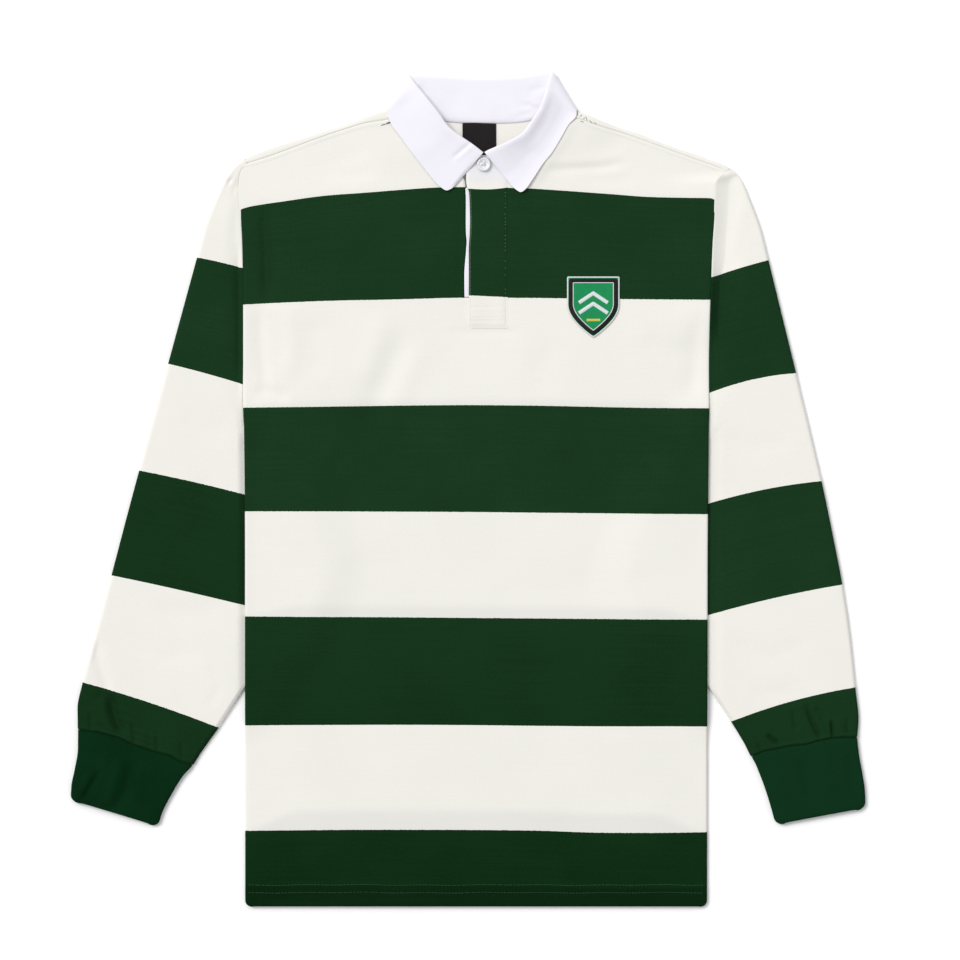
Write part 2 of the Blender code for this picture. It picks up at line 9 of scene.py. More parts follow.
import bpy
import numpy as np
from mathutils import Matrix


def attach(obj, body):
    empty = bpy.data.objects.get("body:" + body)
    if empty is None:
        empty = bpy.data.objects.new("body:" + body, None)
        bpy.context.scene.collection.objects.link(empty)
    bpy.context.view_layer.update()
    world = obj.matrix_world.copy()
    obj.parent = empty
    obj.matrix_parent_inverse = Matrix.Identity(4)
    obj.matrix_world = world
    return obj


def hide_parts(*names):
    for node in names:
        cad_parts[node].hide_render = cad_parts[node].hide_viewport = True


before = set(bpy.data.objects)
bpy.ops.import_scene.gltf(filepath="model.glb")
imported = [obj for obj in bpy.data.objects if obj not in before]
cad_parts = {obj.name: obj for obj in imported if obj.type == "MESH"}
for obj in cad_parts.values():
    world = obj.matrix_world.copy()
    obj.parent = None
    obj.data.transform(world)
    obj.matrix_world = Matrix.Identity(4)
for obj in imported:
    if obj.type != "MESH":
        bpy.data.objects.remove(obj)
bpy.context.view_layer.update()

MM = 0.001
SCALE = 0.947  # mm for one picture unit
CENTRE_PX = (468.5, 489.3)

# ------------------------------------------------------------------ sizes, mm
JERSEY, TWILL, STRIP, RIB, LABEL, BADGE = 1.2, 1.4, 1.2, 2.4, 1.0, 1.2
SEAM, LIE = 0.3, 0.35
HEM_Y = -395.1
BODY_FOLD_R, SLEEVE_FOLD_R, UNDERARM_FOLD_R = 1.6, 2.2, 1.0
UNDERARM_Y, CURL_ABOVE = 56.0, 28.0
TUCK_LIFT, COLLAR_LIFT = 3.7, 2.7
PUFF = 1.3
HEM_CORNER = 5.5
BUTTON_D, BUTTON_H, BUTTON_XY = 13.2, 2.5, (14.45, 307.8)
LABEL_X, LABEL_Y = (-5.6, 26.0), (307.0, 346.6)
SLOT_X, SLOT_Y = (-3.5, 33.0), 182.0
PLACKET_X, PLACKET_Y = (-0.5, 37.4), 152.2
BADGE_XY, BADGE_W, BADGE_L = (118.2, 172.6), 48.0, 56.0
HOOP = 101.6

EDGE_RIGHT = [
    (314.2, -210.6), (308.9, -212.0), (300.0, -216.4), (278.0, -218.3), (262.0, -216.2), (234.0, -214.4),
    (205.0, -213.8), (150.0, -213.5), (96.0, -213.5), (72.0, -213.1), (56.0, -212.6), (-60.0, -211.7),
    (-395.1, -211.7),
]  # fmt: skip
EDGE_LEFT = [
    (303.6, 247.8), (299.5, 242.2), (288.8, 234.0), (278.0, 233.6), (262.0, 233.0), (234.0, 231.0),
    (205.0, 229.8), (150.0, 228.0), (96.0, 227.7), (72.0, 227.7), (56.0, 227.6), (-60.0, 226.6),
    (-395.1, 226.1),
]  # fmt: skip
SHOULDER = [
    (-210.4, 314.2, 308.9), (-192.7, 322.0, 314.2), (-167.1, 330.3, 323.5), (-142.9, 337.9, 332.7),
    (-118.8, 345.4, 340.9), (-98.0, 353.0, 346.9), (-77.2, 359.2, 350.2), (-71.0, 360.2, 352.0), (-49.0, 367.6, 360.0),
    (75.5, 369.0, 361.6), (97.0, 358.8, 352.0), (104.0, 357.4, 351.0), (117.0, 352.9, 346.6), (124.5, 349.9, 344.2),
    (143.5, 342.5, 338.8), (162.4, 336.8, 332.2), (181.3, 329.1, 325.5), (200.3, 322.4, 318.4), (219.2, 316.0, 311.6),
    (228.7, 312.2, 308.4), (238.2, 309.0, 304.9), (247.8, 303.6, 299.5),
]  # fmt: skip
NECK_FRONT = [
    (-49.0, 360.0), (-40.0, 343.0), (-25.0, 327.0), (-3.5, 317.6), (15.0, 315.2), (33.0, 318.6),
    (52.0, 328.0), (66.0, 343.0), (75.5, 361.6),
]  # fmt: skip
NECK_BACK = [
    (-49.0, 367.6), (-38.0, 357.8), (-25.0, 351.0), (-3.5, 348.4), (15.0, 347.8), (33.0, 348.1),
    (52.0, 349.2), (66.0, 357.5), (75.5, 369.0),
]  # fmt: skip
SLEEVE_RIGHT = [  # out_x, out_y, in_x (None at the armhole), in_y
    (-211.4, 314.0, None, 308.9), (-217.8, 309.4, None, 305.0), (-224.4, 302.8, None, 300.0),
    (-231.3, 292.5, None, 278.0), (-240.0, 273.5, None, 262.0), (-247.8, 254.2, None, 234.0),
    (-257.8, 218.0, None, 205.0), (-271.9, 166.4, None, 150.0), (-286.0, 114.5, None, 96.0),
    (-292.4, 91.0, None, 72.0), (-296.6, 75.5, None, 56.0),
    (-300.3, 62.0, -214.4, 43.5), (-305.7, 42.0, -198.0, 16.0), (-312.2, 17.8, -172.0, -15.0),
    (-325.0, -30.0, -149.0, -70.0), (-338.5, -81.6, -168.0, -120.5), (-352.0, -132.0, -203.0, -173.0),
    (-365.7, -182.8, -237.4, -225.7), (-370.6, -207.2, -250.9, -244.7), (-370.3, -226.4, -261.5, -259.7),
]  # fmt: skip
SLEEVE_LEFT = [
    (249.2, 303.8, None, 301.2), (255.0, 298.3, None, 288.8), (260.6, 289.0, None, 278.0),
    (267.6, 272.0, None, 262.0), (277.0, 246.5, None, 234.0), (284.3, 217.2, None, 205.0),
    (297.3, 164.0, None, 150.0), (310.3, 111.0, None, 96.0), (315.5, 88.5, None, 72.0), (319.3, 73.0, None, 56.0),
    (322.5, 59.5, 229.6, 42.0), (327.5, 38.5, 213.0, 14.0), (334.7, 7.6, 188.0, -22.0),
    (345.0, -42.0, 166.0, -82.0), (354.4, -90.7, 187.5, -127.5), (361.5, -139.0, 219.5, -174.5),
    (366.7, -188.0, 249.3, -219.7), (369.7, -216.6, 261.0, -238.8), (368.4, -234.0, 268.1, -250.5),
]  # fmt: skip
CUFF_RIGHT = [
    (-370.0, -226.9, -261.5, -260.2), (-370.2, -245.9, -272.0, -273.4), (-373.2, -264.9, -282.3, -290.4),
    (-376.4, -281.0, -290.0, -305.6), (-377.1, -294.1, -294.2, -319.0),
]  # fmt: skip
CUFF_LEFT = [
    (368.2, -234.5, 268.3, -251.0), (370.3, -252.6, 274.4, -265.8), (373.4, -269.6, 280.9, -282.9),
    (375.6, -284.8, 286.2, -299.9), (376.4, -301.6, 291.0, -317.5),
]  # fmt: skip
COLLAR = [  # bx, by, b_up, rx, ry, rz, ex, ey, e_up, turn
    (11.0, 313.3, 3.1, 13.7, 318.2, 11.2, -15.4, 285.0, 2.6, 1),
    (8.5, 313.0, 3.1, 11.6, 319.8, 11.3, -20.4, 282.9, 2.5, 1),
    (4.5, 312.5, 3.1, 8.6, 322.2, 11.5, -25.4, 285.3, 2.4, 1),
    (-6.5, 315.0, 3.1, 2.4, 326.8, 11.8, -35.5, 296.0, 2.1, 1),
    (-19.5, 321.5, 2.2, -6.3, 332.6, 12.2, -42.5, 304.8, 1.7, 1),
    (-34.0, 332.5, 1.7, -19.4, 342.8, 13.2, -54.5, 320.0, 1.7, 1),
    (-43.5, 344.5, 1.7, -28.6, 355.8, 13.6, -64.5, 334.0, 1.7, 1),
    (-49.0, 356.0, 1.7, -37.0, 366.5, 13.0, -73.0, 345.6, 1.7, 1),
    (-50.6, 362.0, 2.0, -43.4, 374.5, 11.8, -76.4, 353.5, 1.7, 1),
    (-50.4, 366.3, 2.4, -49.6, 382.5, 10.0, -77.0, 357.2, 1.7, 0.85),
    (-50.0, 370.6, 0.9, -54.6, 389.0, 8.0, -77.3, 359.9, 0.8, 0.5),
    (-48.4, 372.4, 0.0, -56.7, 391.7, 5.2, -77.3, 360.9, 0.0, 0),
    (-46.0, 370.0, 5.0, -54.5, 391.9, 3.6, -76.4, 359.4, 2.2, -0.5),
    (-44.0, 365.0, 4.9, -50.0, 391.8, 2.9, -74.8, 355.4, 0.85, -0.9),
    (-37.0, 356.6, 4.9, -40.0, 391.2, 2.8, -62.0, 346.8, 0.85, -1),
    (-21.0, 347.8, 4.9, -20.0, 390.2, 2.8, -36.5, 342.1, 0.85, -1),
    (14.7, 345.8, 4.9, 14.0, 389.0, 2.8, 10.9, 339.3, 0.85, -1),
    (46.0, 346.8, 4.9, 45.0, 389.9, 2.8, 58.2, 342.1, 0.85, -1),
    (62.0, 350.0, 4.9, 60.0, 392.2, 2.8, 86.5, 346.8, 0.85, -1),
    (70.4, 364.0, 4.9, 71.0, 394.4, 2.9, 99.2, 354.8, 0.85, -0.9),
    (72.6, 370.5, 5.0, 76.4, 395.3, 3.6, 101.0, 359.2, 2.0, -0.5),
    (75.0, 373.4, 0.0, 78.5, 394.8, 5.2, 101.5, 360.3, 0.0, 0),
    (76.8, 372.4, 0.9, 77.2, 391.0, 8.0, 101.6, 358.4, 0.8, 0.5),
    (77.4, 368.0, 2.4, 75.0, 382.5, 10.0, 102.2, 355.8, 1.7, 0.85),
    (77.6, 363.5, 2.0, 72.0, 371.5, 13.9, 101.4, 352.3, 2.0, 1),
    (75.6, 356.0, 1.7, 67.0, 359.0, 15.4, 95.2, 345.6, 2.2, 1),
    (69.5, 344.0, 1.7, 60.4, 348.6, 16.0, 87.0, 331.5, 2.5, 1),
    (61.0, 332.0, 1.7, 51.7, 336.9, 15.6, 79.0, 318.5, 2.6, 1),
    (47.0, 322.0, 2.6, 37.2, 328.2, 14.2, 70.6, 308.1, 2.9, 1),
    (34.0, 316.2, 3.1, 27.0, 323.8, 12.8, 58.9, 290.5, 3.9, 1),
    (28.0, 314.2, 3.1, 22.4, 321.8, 11.6, 54.2, 284.2, 4.0, 1),
    (24.0, 313.4, 3.1, 19.4, 320.6, 11.4, 49.6, 281.2, 3.6, 1),
    (19.0, 313.3, 3.1, 15.4, 318.4, 11.2, 43.4, 284.9, 2.6, 1),
]  # fmt: skip
ROLL_R = 1.3
COLLAR_OUT_RIGHT, COLLAR_OUT_LEFT = (-0.837, 0.546), (0.841, 0.541)

# Lines between hoops, counted from the hem, at picture columns across the body.
HOOP_PX = [245, 330, 400, 465, 530, 610, 660, 707]
HOOP_LINES = [
    [830.9, 830.0, 829.7, 829.9, 830.6, 832.8, 832.9, 832.3],
    [725.4, 725.0, 724.8, 725.1, 725.8, 726.4, 726.4, 726.4],
    [616.3, 616.9, 617.3, 617.9, 618.4, 619.0, 619.3, 619.5],
    [511.3, 511.4, 511.7, 512.0, 512.6, 513.4, 513.9, 514.2],
    [407.7, 406.6, 405.6, 405.1, 405.6, 407.2, 408.0, 408.3],
    [304.3, 300.8, 299.3, 297.7, 297.9, 298.9, 299.4, 299.9],
]  # fmt: skip
TOP_HOOP = [(238, 211.0), (245, 207.8), (286, 201.0), (327, 195.5), (365, 192.7), (408, 189.3), (440, 187.4), (466, 187.0), (526, 188.3), (554, 190.0), (610, 194.0), (651, 197.0), (690, 197.9), (710, 198.3), (716, 200.6)]  # fmt: skip
BACK_SHIFT = [23.0, 19.0, 14.0, 11.0, 8.0, 5.0, 3.0, 0.0, 0.0]  # how much higher the back's hoops lie, by line
# Lines between hoops on the sleeves: outer end, inner end, how much the middle bows up.
SLEEVE_HOOPS_RIGHT = [
    ((196.7, 257.4), (242.7, 268.0), 0.6), ((167.8, 363.7), (242.7, 384.4), 0.8),
    ((138.8, 470.5), (244.5, 494.6), 1.0), ((111.0, 575.3), (244.3, 605.3), 0.8),
    ((82.3, 682.3), (218.3, 727.6), 2.0),
]  # fmt: skip
SLEEVE_HOOPS_LEFT = [
    ((768.5, 260.0), (711.0, 277.4), 0.6), ((796.5, 373.2), (709.5, 393.0), 3.6),
    ((821.9, 481.1), (708.7, 503.6), 3.0), ((842.4, 584.7), (708.1, 615.4), 2.2),
    ((855.9, 687.3), (732.2, 721.2), 3.6),
]  # fmt: skip


# ------------------------------------------------------------------ numbers
def place(px, py):
    return (px - CENTRE_PX[0]) * SCALE, (CENTRE_PX[1] - py) * SCALE


def to_px(x, y):
    return x / SCALE + CENTRE_PX[0], CENTRE_PX[1] - y / SCALE


def smooth(t):
    t = np.clip(t, 0.0, 1.0)
    return t * t * (3.0 - 2.0 * t)


def mix(a, b, t):
    return a + (b - a) * t


def curve(xs, ys):
    """A smooth line through points that never swings past them."""
    order = np.argsort(xs)
    xs, ys = np.asarray(xs, float)[order], np.asarray(ys, float)[order]
    h = np.diff(xs)
    d = np.diff(ys) / h
    m = np.zeros(len(xs))
    m[0], m[-1] = d[0], d[-1]
    for i in range(1, len(xs) - 1):
        if d[i - 1] * d[i] > 0:
            w1, w2 = 2 * h[i] + h[i - 1], h[i] + 2 * h[i - 1]
            m[i] = (w1 + w2) / (w1 / d[i - 1] + w2 / d[i])

    def at(q):
        q = np.clip(np.asarray(q, float), xs[0], xs[-1])
        i = np.clip(np.searchsorted(xs, q) - 1, 0, len(h) - 1)
        t = (q - xs[i]) / h[i]
        t2, t3 = t * t, t * t * t
        return (
            (2 * t3 - 3 * t2 + 1) * ys[i]
            + (t3 - 2 * t2 + t) * h[i] * m[i]
            + (3 * t2 - 2 * t3) * ys[i + 1]
            + (t3 - t2) * h[i] * m[i + 1]
        )

    return at


def column(table, key, value):
    return curve([r[key] for r in table], [r[value] for r in table])


edge_curves = {-1: column(EDGE_RIGHT, 0, 1), 1: column(EDGE_LEFT, 0, 1)}
fold_line, seam_line = column(SHOULDER, 0, 1), column(SHOULDER, 0, 2)
neck_front, neck_back = column(NECK_FRONT, 0, 1), column(NECK_BACK, 0, 1)


def edge_x(y, sign):
    """The body's edge, with the hem's rounded corner."""
    y = np.asarray(y, float)
    up = np.clip(y - HEM_Y, 0.0, HEM_CORNER)
    corner = HEM_CORNER - np.sqrt(np.maximum(HEM_CORNER**2 - (HEM_CORNER - up) ** 2, 0.0))
    return edge_curves[sign](y) - sign * corner


def to_line(x, y, line, closed=False):
    """Distance of points to a run of straight stretches, how far along the nearest point lies (0 to 1), and
    on which side."""
    pts = np.asarray(line, float)
    if closed:
        pts = np.vstack([pts, pts[:1]])
    a, b = pts[:-1], pts[1:]
    lengths = np.hypot(*(b - a).T)
    starts = np.concatenate([[0.0], np.cumsum(lengths)])
    best = np.full(np.shape(x), 1e9)
    along = np.zeros(np.shape(x))
    side = np.zeros(np.shape(x))
    for k in range(len(a)):
        d = b[k] - a[k]
        t = np.clip(((x - a[k][0]) * d[0] + (y - a[k][1]) * d[1]) / (d @ d), 0.0, 1.0)
        ox, oy = x - a[k][0] - t * d[0], y - a[k][1] - t * d[1]
        dist = np.hypot(ox, oy)
        near = dist < best
        best = np.where(near, dist, best)
        along = np.where(near, (starts[k] + t * lengths[k]) / starts[-1], along)
        side = np.where(near, np.sign(d[0] * oy - d[1] * ox), side)
    return best, along, side


def outside(x, y, outline):
    x, y = np.asarray(x, float), np.asarray(y, float)
    inside = np.zeros(x.shape, bool)
    for (ax, ay), (bx, by) in zip(outline, outline[1:] + outline[:1]):
        if ay == by:
            continue
        crosses = ((ay > y) != (by > y)) & (x < ax + (y - ay) * (bx - ax) / (by - ay))
        inside ^= crosses
    return np.where(inside, 0.0, to_line(x, y, outline, True)[0])


def mottle(x, y, size, seed):
    """Soft uneven heights between -1 and 1, the same each time."""
    lattice = np.random.default_rng(seed).uniform(-1.0, 1.0, (64, 64))
    u, v = np.asarray(x) / size + 1000.37, np.asarray(y) / size + 1000.61
    i, j = np.floor(u).astype(int), np.floor(v).astype(int)
    s, t = u - i, v - j
    s, t = s * s * s * (s * (6 * s - 15) + 10), t * t * t * (t * (6 * t - 15) + 10)
    i0, i1, j0, j1 = i % 64, (i + 1) % 64, j % 64, (j + 1) % 64
    return mix(mix(lattice[i0, j0], lattice[i1, j0], s), mix(lattice[i0, j1], lattice[i1, j1], s), t)


# ------------------------------------------------------------------ folds
# Each: points (px), width mm, height mm (below 0 is a trough), and a slant: how much of a ridge rises on its
# left side, seen along the points.
FRONT_FOLDS = [
    ([(413, 320), (395, 356), (377, 396), (366, 430), (352, 468)], 13, -1.15, 0.5),
    ([(387, 308), (375, 348), (362, 388)], 13, 0.75, 0.0),
    ([(246, 436), (266, 463), (288, 489), (308, 501)], 9, -0.95, -0.4),
    ([(308, 501), (323, 486), (337, 466), (352, 438)], 10, -0.85, 0.3),
    ([(262, 415), (285, 430), (318, 452)], 12, 0.6, 0.0),
    ([(264, 196), (268, 250), (268, 312)], 7.0, -2.9, 0.0),
    ([(287, 296), (292, 340), (288, 388)], 9, 0.8, 0.0),
    ([(259, 298), (261, 350), (267, 398)], 6, -1.0, 0.0),
    ([(250, 390), (271, 392), (293, 399)], 6, -0.9, 0.0),
    ([(318, 312), (316, 345), (322, 380)], 11, -0.45, 0.0),
    ([(622, 432), (617, 462), (619, 492)], 10, -0.6, 0.0),
    ([(697, 306), (695, 358), (689, 410)], 8, -0.7, 0.3),
    ([(492, 436), (481, 455), (464, 474)], 11, -0.6, 0.0),
    ([(648, 852), (664, 874), (684, 898)], 5, -0.7, 0.5),
    ([(572, 868), (592, 886)], 4.5, -0.5, 0.0),
    ([(266, 896), (280, 900), (295, 899)], 3.6, -1.5, 0.2),
    ([(295, 875), (305, 880), (315, 886)], 2.8, -1.0, 0.2),
    ([(336, 870), (351, 877), (367, 883)], 3.2, -0.9, 0.2),
    ([(250, 842), (284, 850), (330, 846)], 9, -0.4, 0.0),
    ([(536, 171), (575, 168.5), (602, 167), (634, 161)], 4.5, -0.9, 0.3),
    ([(566, 152), (592, 146), (628, 141)], 7.5, -0.25, 0.0),
    ([(590, 92), (579, 110), (569, 126), (560, 141), (551, 155), (543, 166), (530, 184), (516, 206)], 6.0, 0.95, 0.0),
    ([(440, 331.5), (485, 333), (530, 331.5)], 3.2, -0.4, 0.0),
    ([(575, 178), (604, 181), (640, 178)], 6, -0.4, 0.0),
    ([(460, 196), (461, 245), (461, 292)], 4, -0.5, 0.0),
    ([(382, 170), (352, 176), (318, 172)], 7, -0.4, 0.3),
    ([(376, 150), (338, 160), (300, 176)], 9, -0.35, 0.0),
    ([(256, 562), (330, 570), (402, 562), (452, 566)], 17, -0.5, 0.0),
    ([(500, 590), (560, 580), (640, 584), (700, 578)], 18, -0.45, 0.0),
    ([(520, 655), (545, 690), (590, 716)], 15, -0.45, 0.0),
    ([(300, 655), (330, 690), (345, 730)], 15, -0.45, 0.0),
    ([(420, 770), (500, 782), (560, 776)], 16, -0.4, 0.0),
    ([(640, 640), (655, 690), (690, 735)], 15, -0.45, 0.0),
    ([(560, 330), (540, 370), (548, 400)], 12, -0.4, 0.0),
    ([(640, 335), (668, 352), (700, 352)], 11, -0.45, 0.0),
    ([(340, 214), (362, 232), (400, 233)], 9, -0.4, 0.0),
    ([(560, 216), (600, 236), (650, 240)], 12, -0.4, 0.0),
    ([(262, 790), (300, 782), (352, 790)], 14, -0.4, 0.0),
    ([(600, 800), (648, 790), (700, 800)], 14, -0.4, 0.0),
]  # fmt: skip
BACK_FOLDS = [
    ([(300, 330), (330, 400), (326, 470)], 13, 0.9, 0.4), ([(620, 300), (590, 380), (600, 460)], 14, 0.9, -0.4),
    ([(420, 240), (470, 260), (540, 246)], 13, 0.7, 0.0), ([(300, 520), (380, 540), (450, 530)], 15, 0.8, 0.0),
    ([(520, 600), (590, 590), (660, 610)], 15, 0.8, 0.0), ([(400, 650), (430, 720), (420, 780)], 14, 0.8, 0.0),
    ([(600, 700), (610, 760), (650, 800)], 13, 0.7, 0.0), ([(280, 700), (300, 760), (290, 820)], 12, 0.7, 0.0),
    ([(300, 880), (360, 872), (430, 882)], 7, 0.5, 0.0), ([(540, 876), (600, 884), (660, 876)], 7, 0.5, 0.0),
    ([(350, 190), (380, 215), (384, 250)], 10, 0.7, 0.0), ([(580, 190), (560, 220), (566, 260)], 10, 0.6, 0.0),
]  # fmt: skip
SLEEVE_RIGHT_FOLDS = [
    ([(220, 174.5), (227, 179.0), (233, 183.0)], 2.8, -2.2, 0.0),
    ([(229, 192), (236, 194), (241, 200)], 4, -0.4, 0.0),
    ([(236, 205), (235, 235), (236, 262)], 6, -0.5, 0.0),
    ([(243, 236), (241.0, 300), (242, 345), (245, 404)], 7.0, -3.9, 0.0),
    ([(222, 300), (219, 340), (226, 380)], 8, 0.5, 0.0),
    ([(141, 526), (146, 550), (158, 578)], 4.5, -0.7, 0.4),
    ([(92, 632), (98, 660), (106, 684), (108, 702)], 5.5, -1.7, 0.0),
    ([(101, 690), (103.5, 702), (104.5, 712), (107, 721), (112, 730), (118, 738)], 4.6, 2.4, 0.0),
    ([(109.5, 692), (112, 702), (113.5, 712), (116, 721), (121, 730), (126.5, 738)], 5.0, -4.2, 0.0),
    ([(94, 694), (104, 698), (115, 701)], 4.6, -1.2, 0.0),
    ([(91, 702), (95, 714), (99, 728)], 4.2, 1.0, 0.0),
    ([(131, 720), (133, 732), (135, 748)], 2.2, -1.6, 0.0),
    ([(143, 726), (145, 750)], 3.0, 0.9, 0.0),
    ([(156, 734), (158, 756)], 2.0, -1.2, 0.0),
    ([(180, 740), (183, 762)], 2.0, -1.3, 0.0),
    ([(90, 710), (91, 736)], 2.2, -1.1, 0.0),
    ([(196, 300), (212, 322), (236, 330)], 8, -0.45, 0.0),
    ([(180, 410), (202, 428), (234, 432)], 10, -0.45, 0.0),
    ([(192, 478), (214, 500), (240, 508)], 9, -0.5, 0.0),
    ([(146, 604), (186, 614), (232, 606)], 11, -0.5, 0.0),
    ([(128, 640), (160, 656), (206, 652)], 10, -0.45, 0.0),
    ([(206, 660), (220, 684), (208, 712)], 6, -0.45, 0.0),
]  # fmt: skip
SLEEVE_LEFT_FOLDS = [
    ([(727, 168), (730.5, 171), (734, 174.5)], 1.1, -1.2, 0.0),
    ([(744, 190), (739, 226), (733, 262)], 7, 0.6, 0.0),
    ([(713, 330), (711.5, 390), (711, 440)], 3.0, -0.7, 0.0),
    ([(805.5, 702), (809.5, 714), (813.5, 724), (818, 734), (822.5, 746)], 2.6, -3.2, 0.1),
    ([(797, 700), (799, 718), (803, 738)], 3.2, 0.8, 0.0),
    ([(766, 734), (772, 739), (780, 745)], 2.2, -3.0, 0.0),
    ([(756, 742), (762, 750), (767, 758)], 1.8, -1.3, 0.0),
    ([(793, 708), (796, 722), (797, 734)], 3.6, -1.8, 0.0),
    ([(815, 706), (821, 714), (826, 724)], 3.2, -1.6, 0.0),
    ([(831.5, 718), (832.6, 731), (833.4, 745)], 1.8, -3.4, 0.0),
    ([(839, 716), (841, 738)], 3.0, 0.7, 0.0),
    ([(848, 714), (848, 738)], 2.2, -1.2, 0.0),
    ([(832, 552), (822, 570), (822, 584)], 7, 0.6, 0.0),
    ([(728, 298), (752, 316), (778, 318)], 9, -0.45, 0.0),
    ([(716, 430), (752, 446), (800, 438)], 10, -0.45, 0.0),
    ([(716, 562), (758, 548), (802, 556)], 10, -0.45, 0.0),
    ([(724, 640), (768, 656), (820, 640)], 10, -0.5, 0.0),
    ([(744, 690), (770, 694), (800, 686)], 7, -0.4, 0.0),
    ([(750, 210), (752, 240)], 7, -0.3, 0.0),
]  # fmt: skip
SLEEVE_UNDER_FOLDS = [
    ([(210, 300), (222, 380)], 9, 0.7, 0.0), ([(170, 420), (190, 470), (184, 520)], 9, 0.7, 0.0),
    ([(130, 590), (160, 640)], 8, 0.6, 0.0), ([(100, 690), (103, 727)], 3, 0.6, 0.0), ([(150, 715), (152, 748)], 3, 0.6, 0.0),
    ([(740, 300), (748, 370)], 9, 0.7, 0.0), ([(770, 420), (760, 480), (784, 540)], 9, 0.7, 0.0),
    ([(800, 590), (780, 650)], 8, 0.6, 0.0), ([(790, 712), (792, 742)], 3, 0.6, 0.0), ([(830, 706), (829, 738)], 3, 0.6, 0.0),
]  # fmt: skip
CUFF_FOLDS = [
    ([(92, 768), (87, 780), (80, 793), (74, 804)], 3.6, 1.8, 0.0), ([(102, 766), (96, 778), (88, 790), (80, 804)], 3.0, -2.2, 0.0),
    ([(100, 805), (110, 808), (120, 808)], 3.6, -1.5, 0.0),
    ([(119, 756), (116, 774), (112, 789), (106, 802), (100, 814)], 5.5, 1.7, 0.0),
    ([(131, 756), (128.5, 774), (125, 789), (120, 802), (114, 814)], 6.0, -3.2, 0.0), ([(104, 750), (103, 780)], 5, 0.8, 0.0),
    ([(140, 762), (140, 800)], 6, 1.0, 0.0), ([(158, 764), (160, 796)], 6, -0.8, 0.0),
    ([(798, 756), (806, 780), (812, 808)], 6, -1.2, 0.0), ([(824, 748), (830, 800)], 7, 1.0, 0.0), ([(848, 752), (854, 796)], 6, -1.4, 0.0),
    ([(776, 770), (786, 800)], 6, 0.8, 0.0),
]  # fmt: skip
COLLAR_FOLDS = [
    ([(506, 120), (527, 113.5), (546, 107)], 2.2, -0.7, 0.4), ([(518, 103.6), (530, 105.6), (543, 108.6)], 1.5, -1.2, 0.3),
    ([(526, 92), (536, 89.5), (548, 85)], 3.6, -0.9, 0.0), ([(420, 84), (426, 96)], 5, -0.5, 0.0),
    ([(474, 141), (463, 150), (451, 160)], 2.4, -1.1, 0.3), ([(410, 118), (430, 150)], 8, -0.35, 0.0),
    ([(556, 92), (549, 108), (543, 124), (532, 140), (522, 150)], 5.0, -0.9, 0.0), ([(455, 88), (458, 112)], 10, -0.35, 0.0),
    ([(492, 90), (496, 114)], 9, 0.3, 0.0),
]  # fmt: skip


def folds(x, y, table):
    z = np.zeros(np.shape(x))
    for points, width, height, slant in table:
        d, t, side = to_line(x, y, [place(*p) for p in points])
        ends = smooth(t / 0.28) * smooth((1.0 - t) / 0.28)
        ends = np.where((t <= 0.0) | (t >= 1.0), 0.0, ends)
        s = d * side / width
        z = z + height * ends * np.exp(-(s**2))
        if slant:
            z = z - height * slant * ends * np.exp(-((s - 1.5) ** 2) / 0.8)
    return z


# ------------------------------------------------------------------ hoops
hoop_curves = [curve(HOOP_PX, line) for line in HOOP_LINES]
top_hoop = curve([p[0] for p in TOP_HOOP], [p[1] for p in TOP_HOOP])


def body_lines(px, back=False):
    lines = [c(px) for c in hoop_curves] + [top_hoop(px)]
    lines = [lines[0] + 107.3, *lines, lines[-1] - 107.3]
    if back:
        inward = np.minimum(px - 243.0, 708.5 - px)
        share = smooth(inward / 60.0)
        lines = [line - shift * share for line, shift in zip(lines, BACK_SHIFT)]
    return lines


def count_up(py, lines):
    """Which hoop a height lies in, with its share of that hoop: a whole number at each line."""
    h = np.zeros(np.shape(py))
    for k in range(len(lines) - 1):
        share = (lines[k] - py) / (lines[k] - lines[k + 1])
        if k == 0:
            h = np.where(share < 1.0, share, h)
        elif k == len(lines) - 2:
            h = np.where(share >= 0.0, k + share, h)
        else:
            h = np.where((share >= 0.0) & (share < 1.0), k + share, h)
    return h


def body_hoops(x, y, back=False):
    px, py = to_px(x, y)
    return count_up(py, body_lines(px, back))


def placket_hoops(x, y):
    px, py = to_px(x, y)
    lines = body_lines(px)
    t = (px - 468.0) / 40.0
    lines[7] = 188.6 + 1.4 * np.sin(np.clip(t, 0, 1) * math.pi) - 1.2 * t
    lines[6] = 295.4 + 1.8 * t
    return count_up(py, lines)


def green_behind(x, y):
    """1 where a dark hoop of the back lies under the front."""
    share = np.mod(body_hoops(x, y, True), 2.0)
    inside = np.where(share < 1.0, np.minimum(share, 1.0 - share), -np.minimum(share - 1.0, 2.0 - share))
    return smooth(inside * 107.3 / 12.0 + 0.5)


def sleeve_hoops(x, y, sign):
    px, py = to_px(x, y)
    rows = []
    for (ox, oy), (ix, iy), bow in SLEEVE_HOOPS_RIGHT if sign < 0 else SLEEVE_HOOPS_LEFT:
        t = (px - ox) / (ix - ox)
        rows.append(mix(oy, iy, t) - bow * 4.0 * np.clip(t, 0, 1) * (1.0 - np.clip(t, 0, 1)))
    rows = [rows[0] - 107.3, *rows, rows[-1] + 107.3]
    h = np.zeros(np.shape(py))
    for k in range(len(rows) - 1):
        share = (py - rows[k]) / (rows[k + 1] - rows[k])
        h = np.where(share >= 0.0, k + share, h)
    return np.maximum(h, 0.05) + 1.0


# ------------------------------------------------------------------ the lie of the cloth
def tucked(rows, edge):
    inner = [(r[2], r[3]) for r in rows if r[2] is not None and abs(r[2]) < abs(float(edge(r[3])))]
    low = min(y for _, y in inner) - 16.0
    beyond = 8.0 if float(edge(0.0)) > 0 else -8.0
    return [(float(edge(56.0)) + beyond, 58.0), *inner, (float(edge(low)) + beyond, low)]


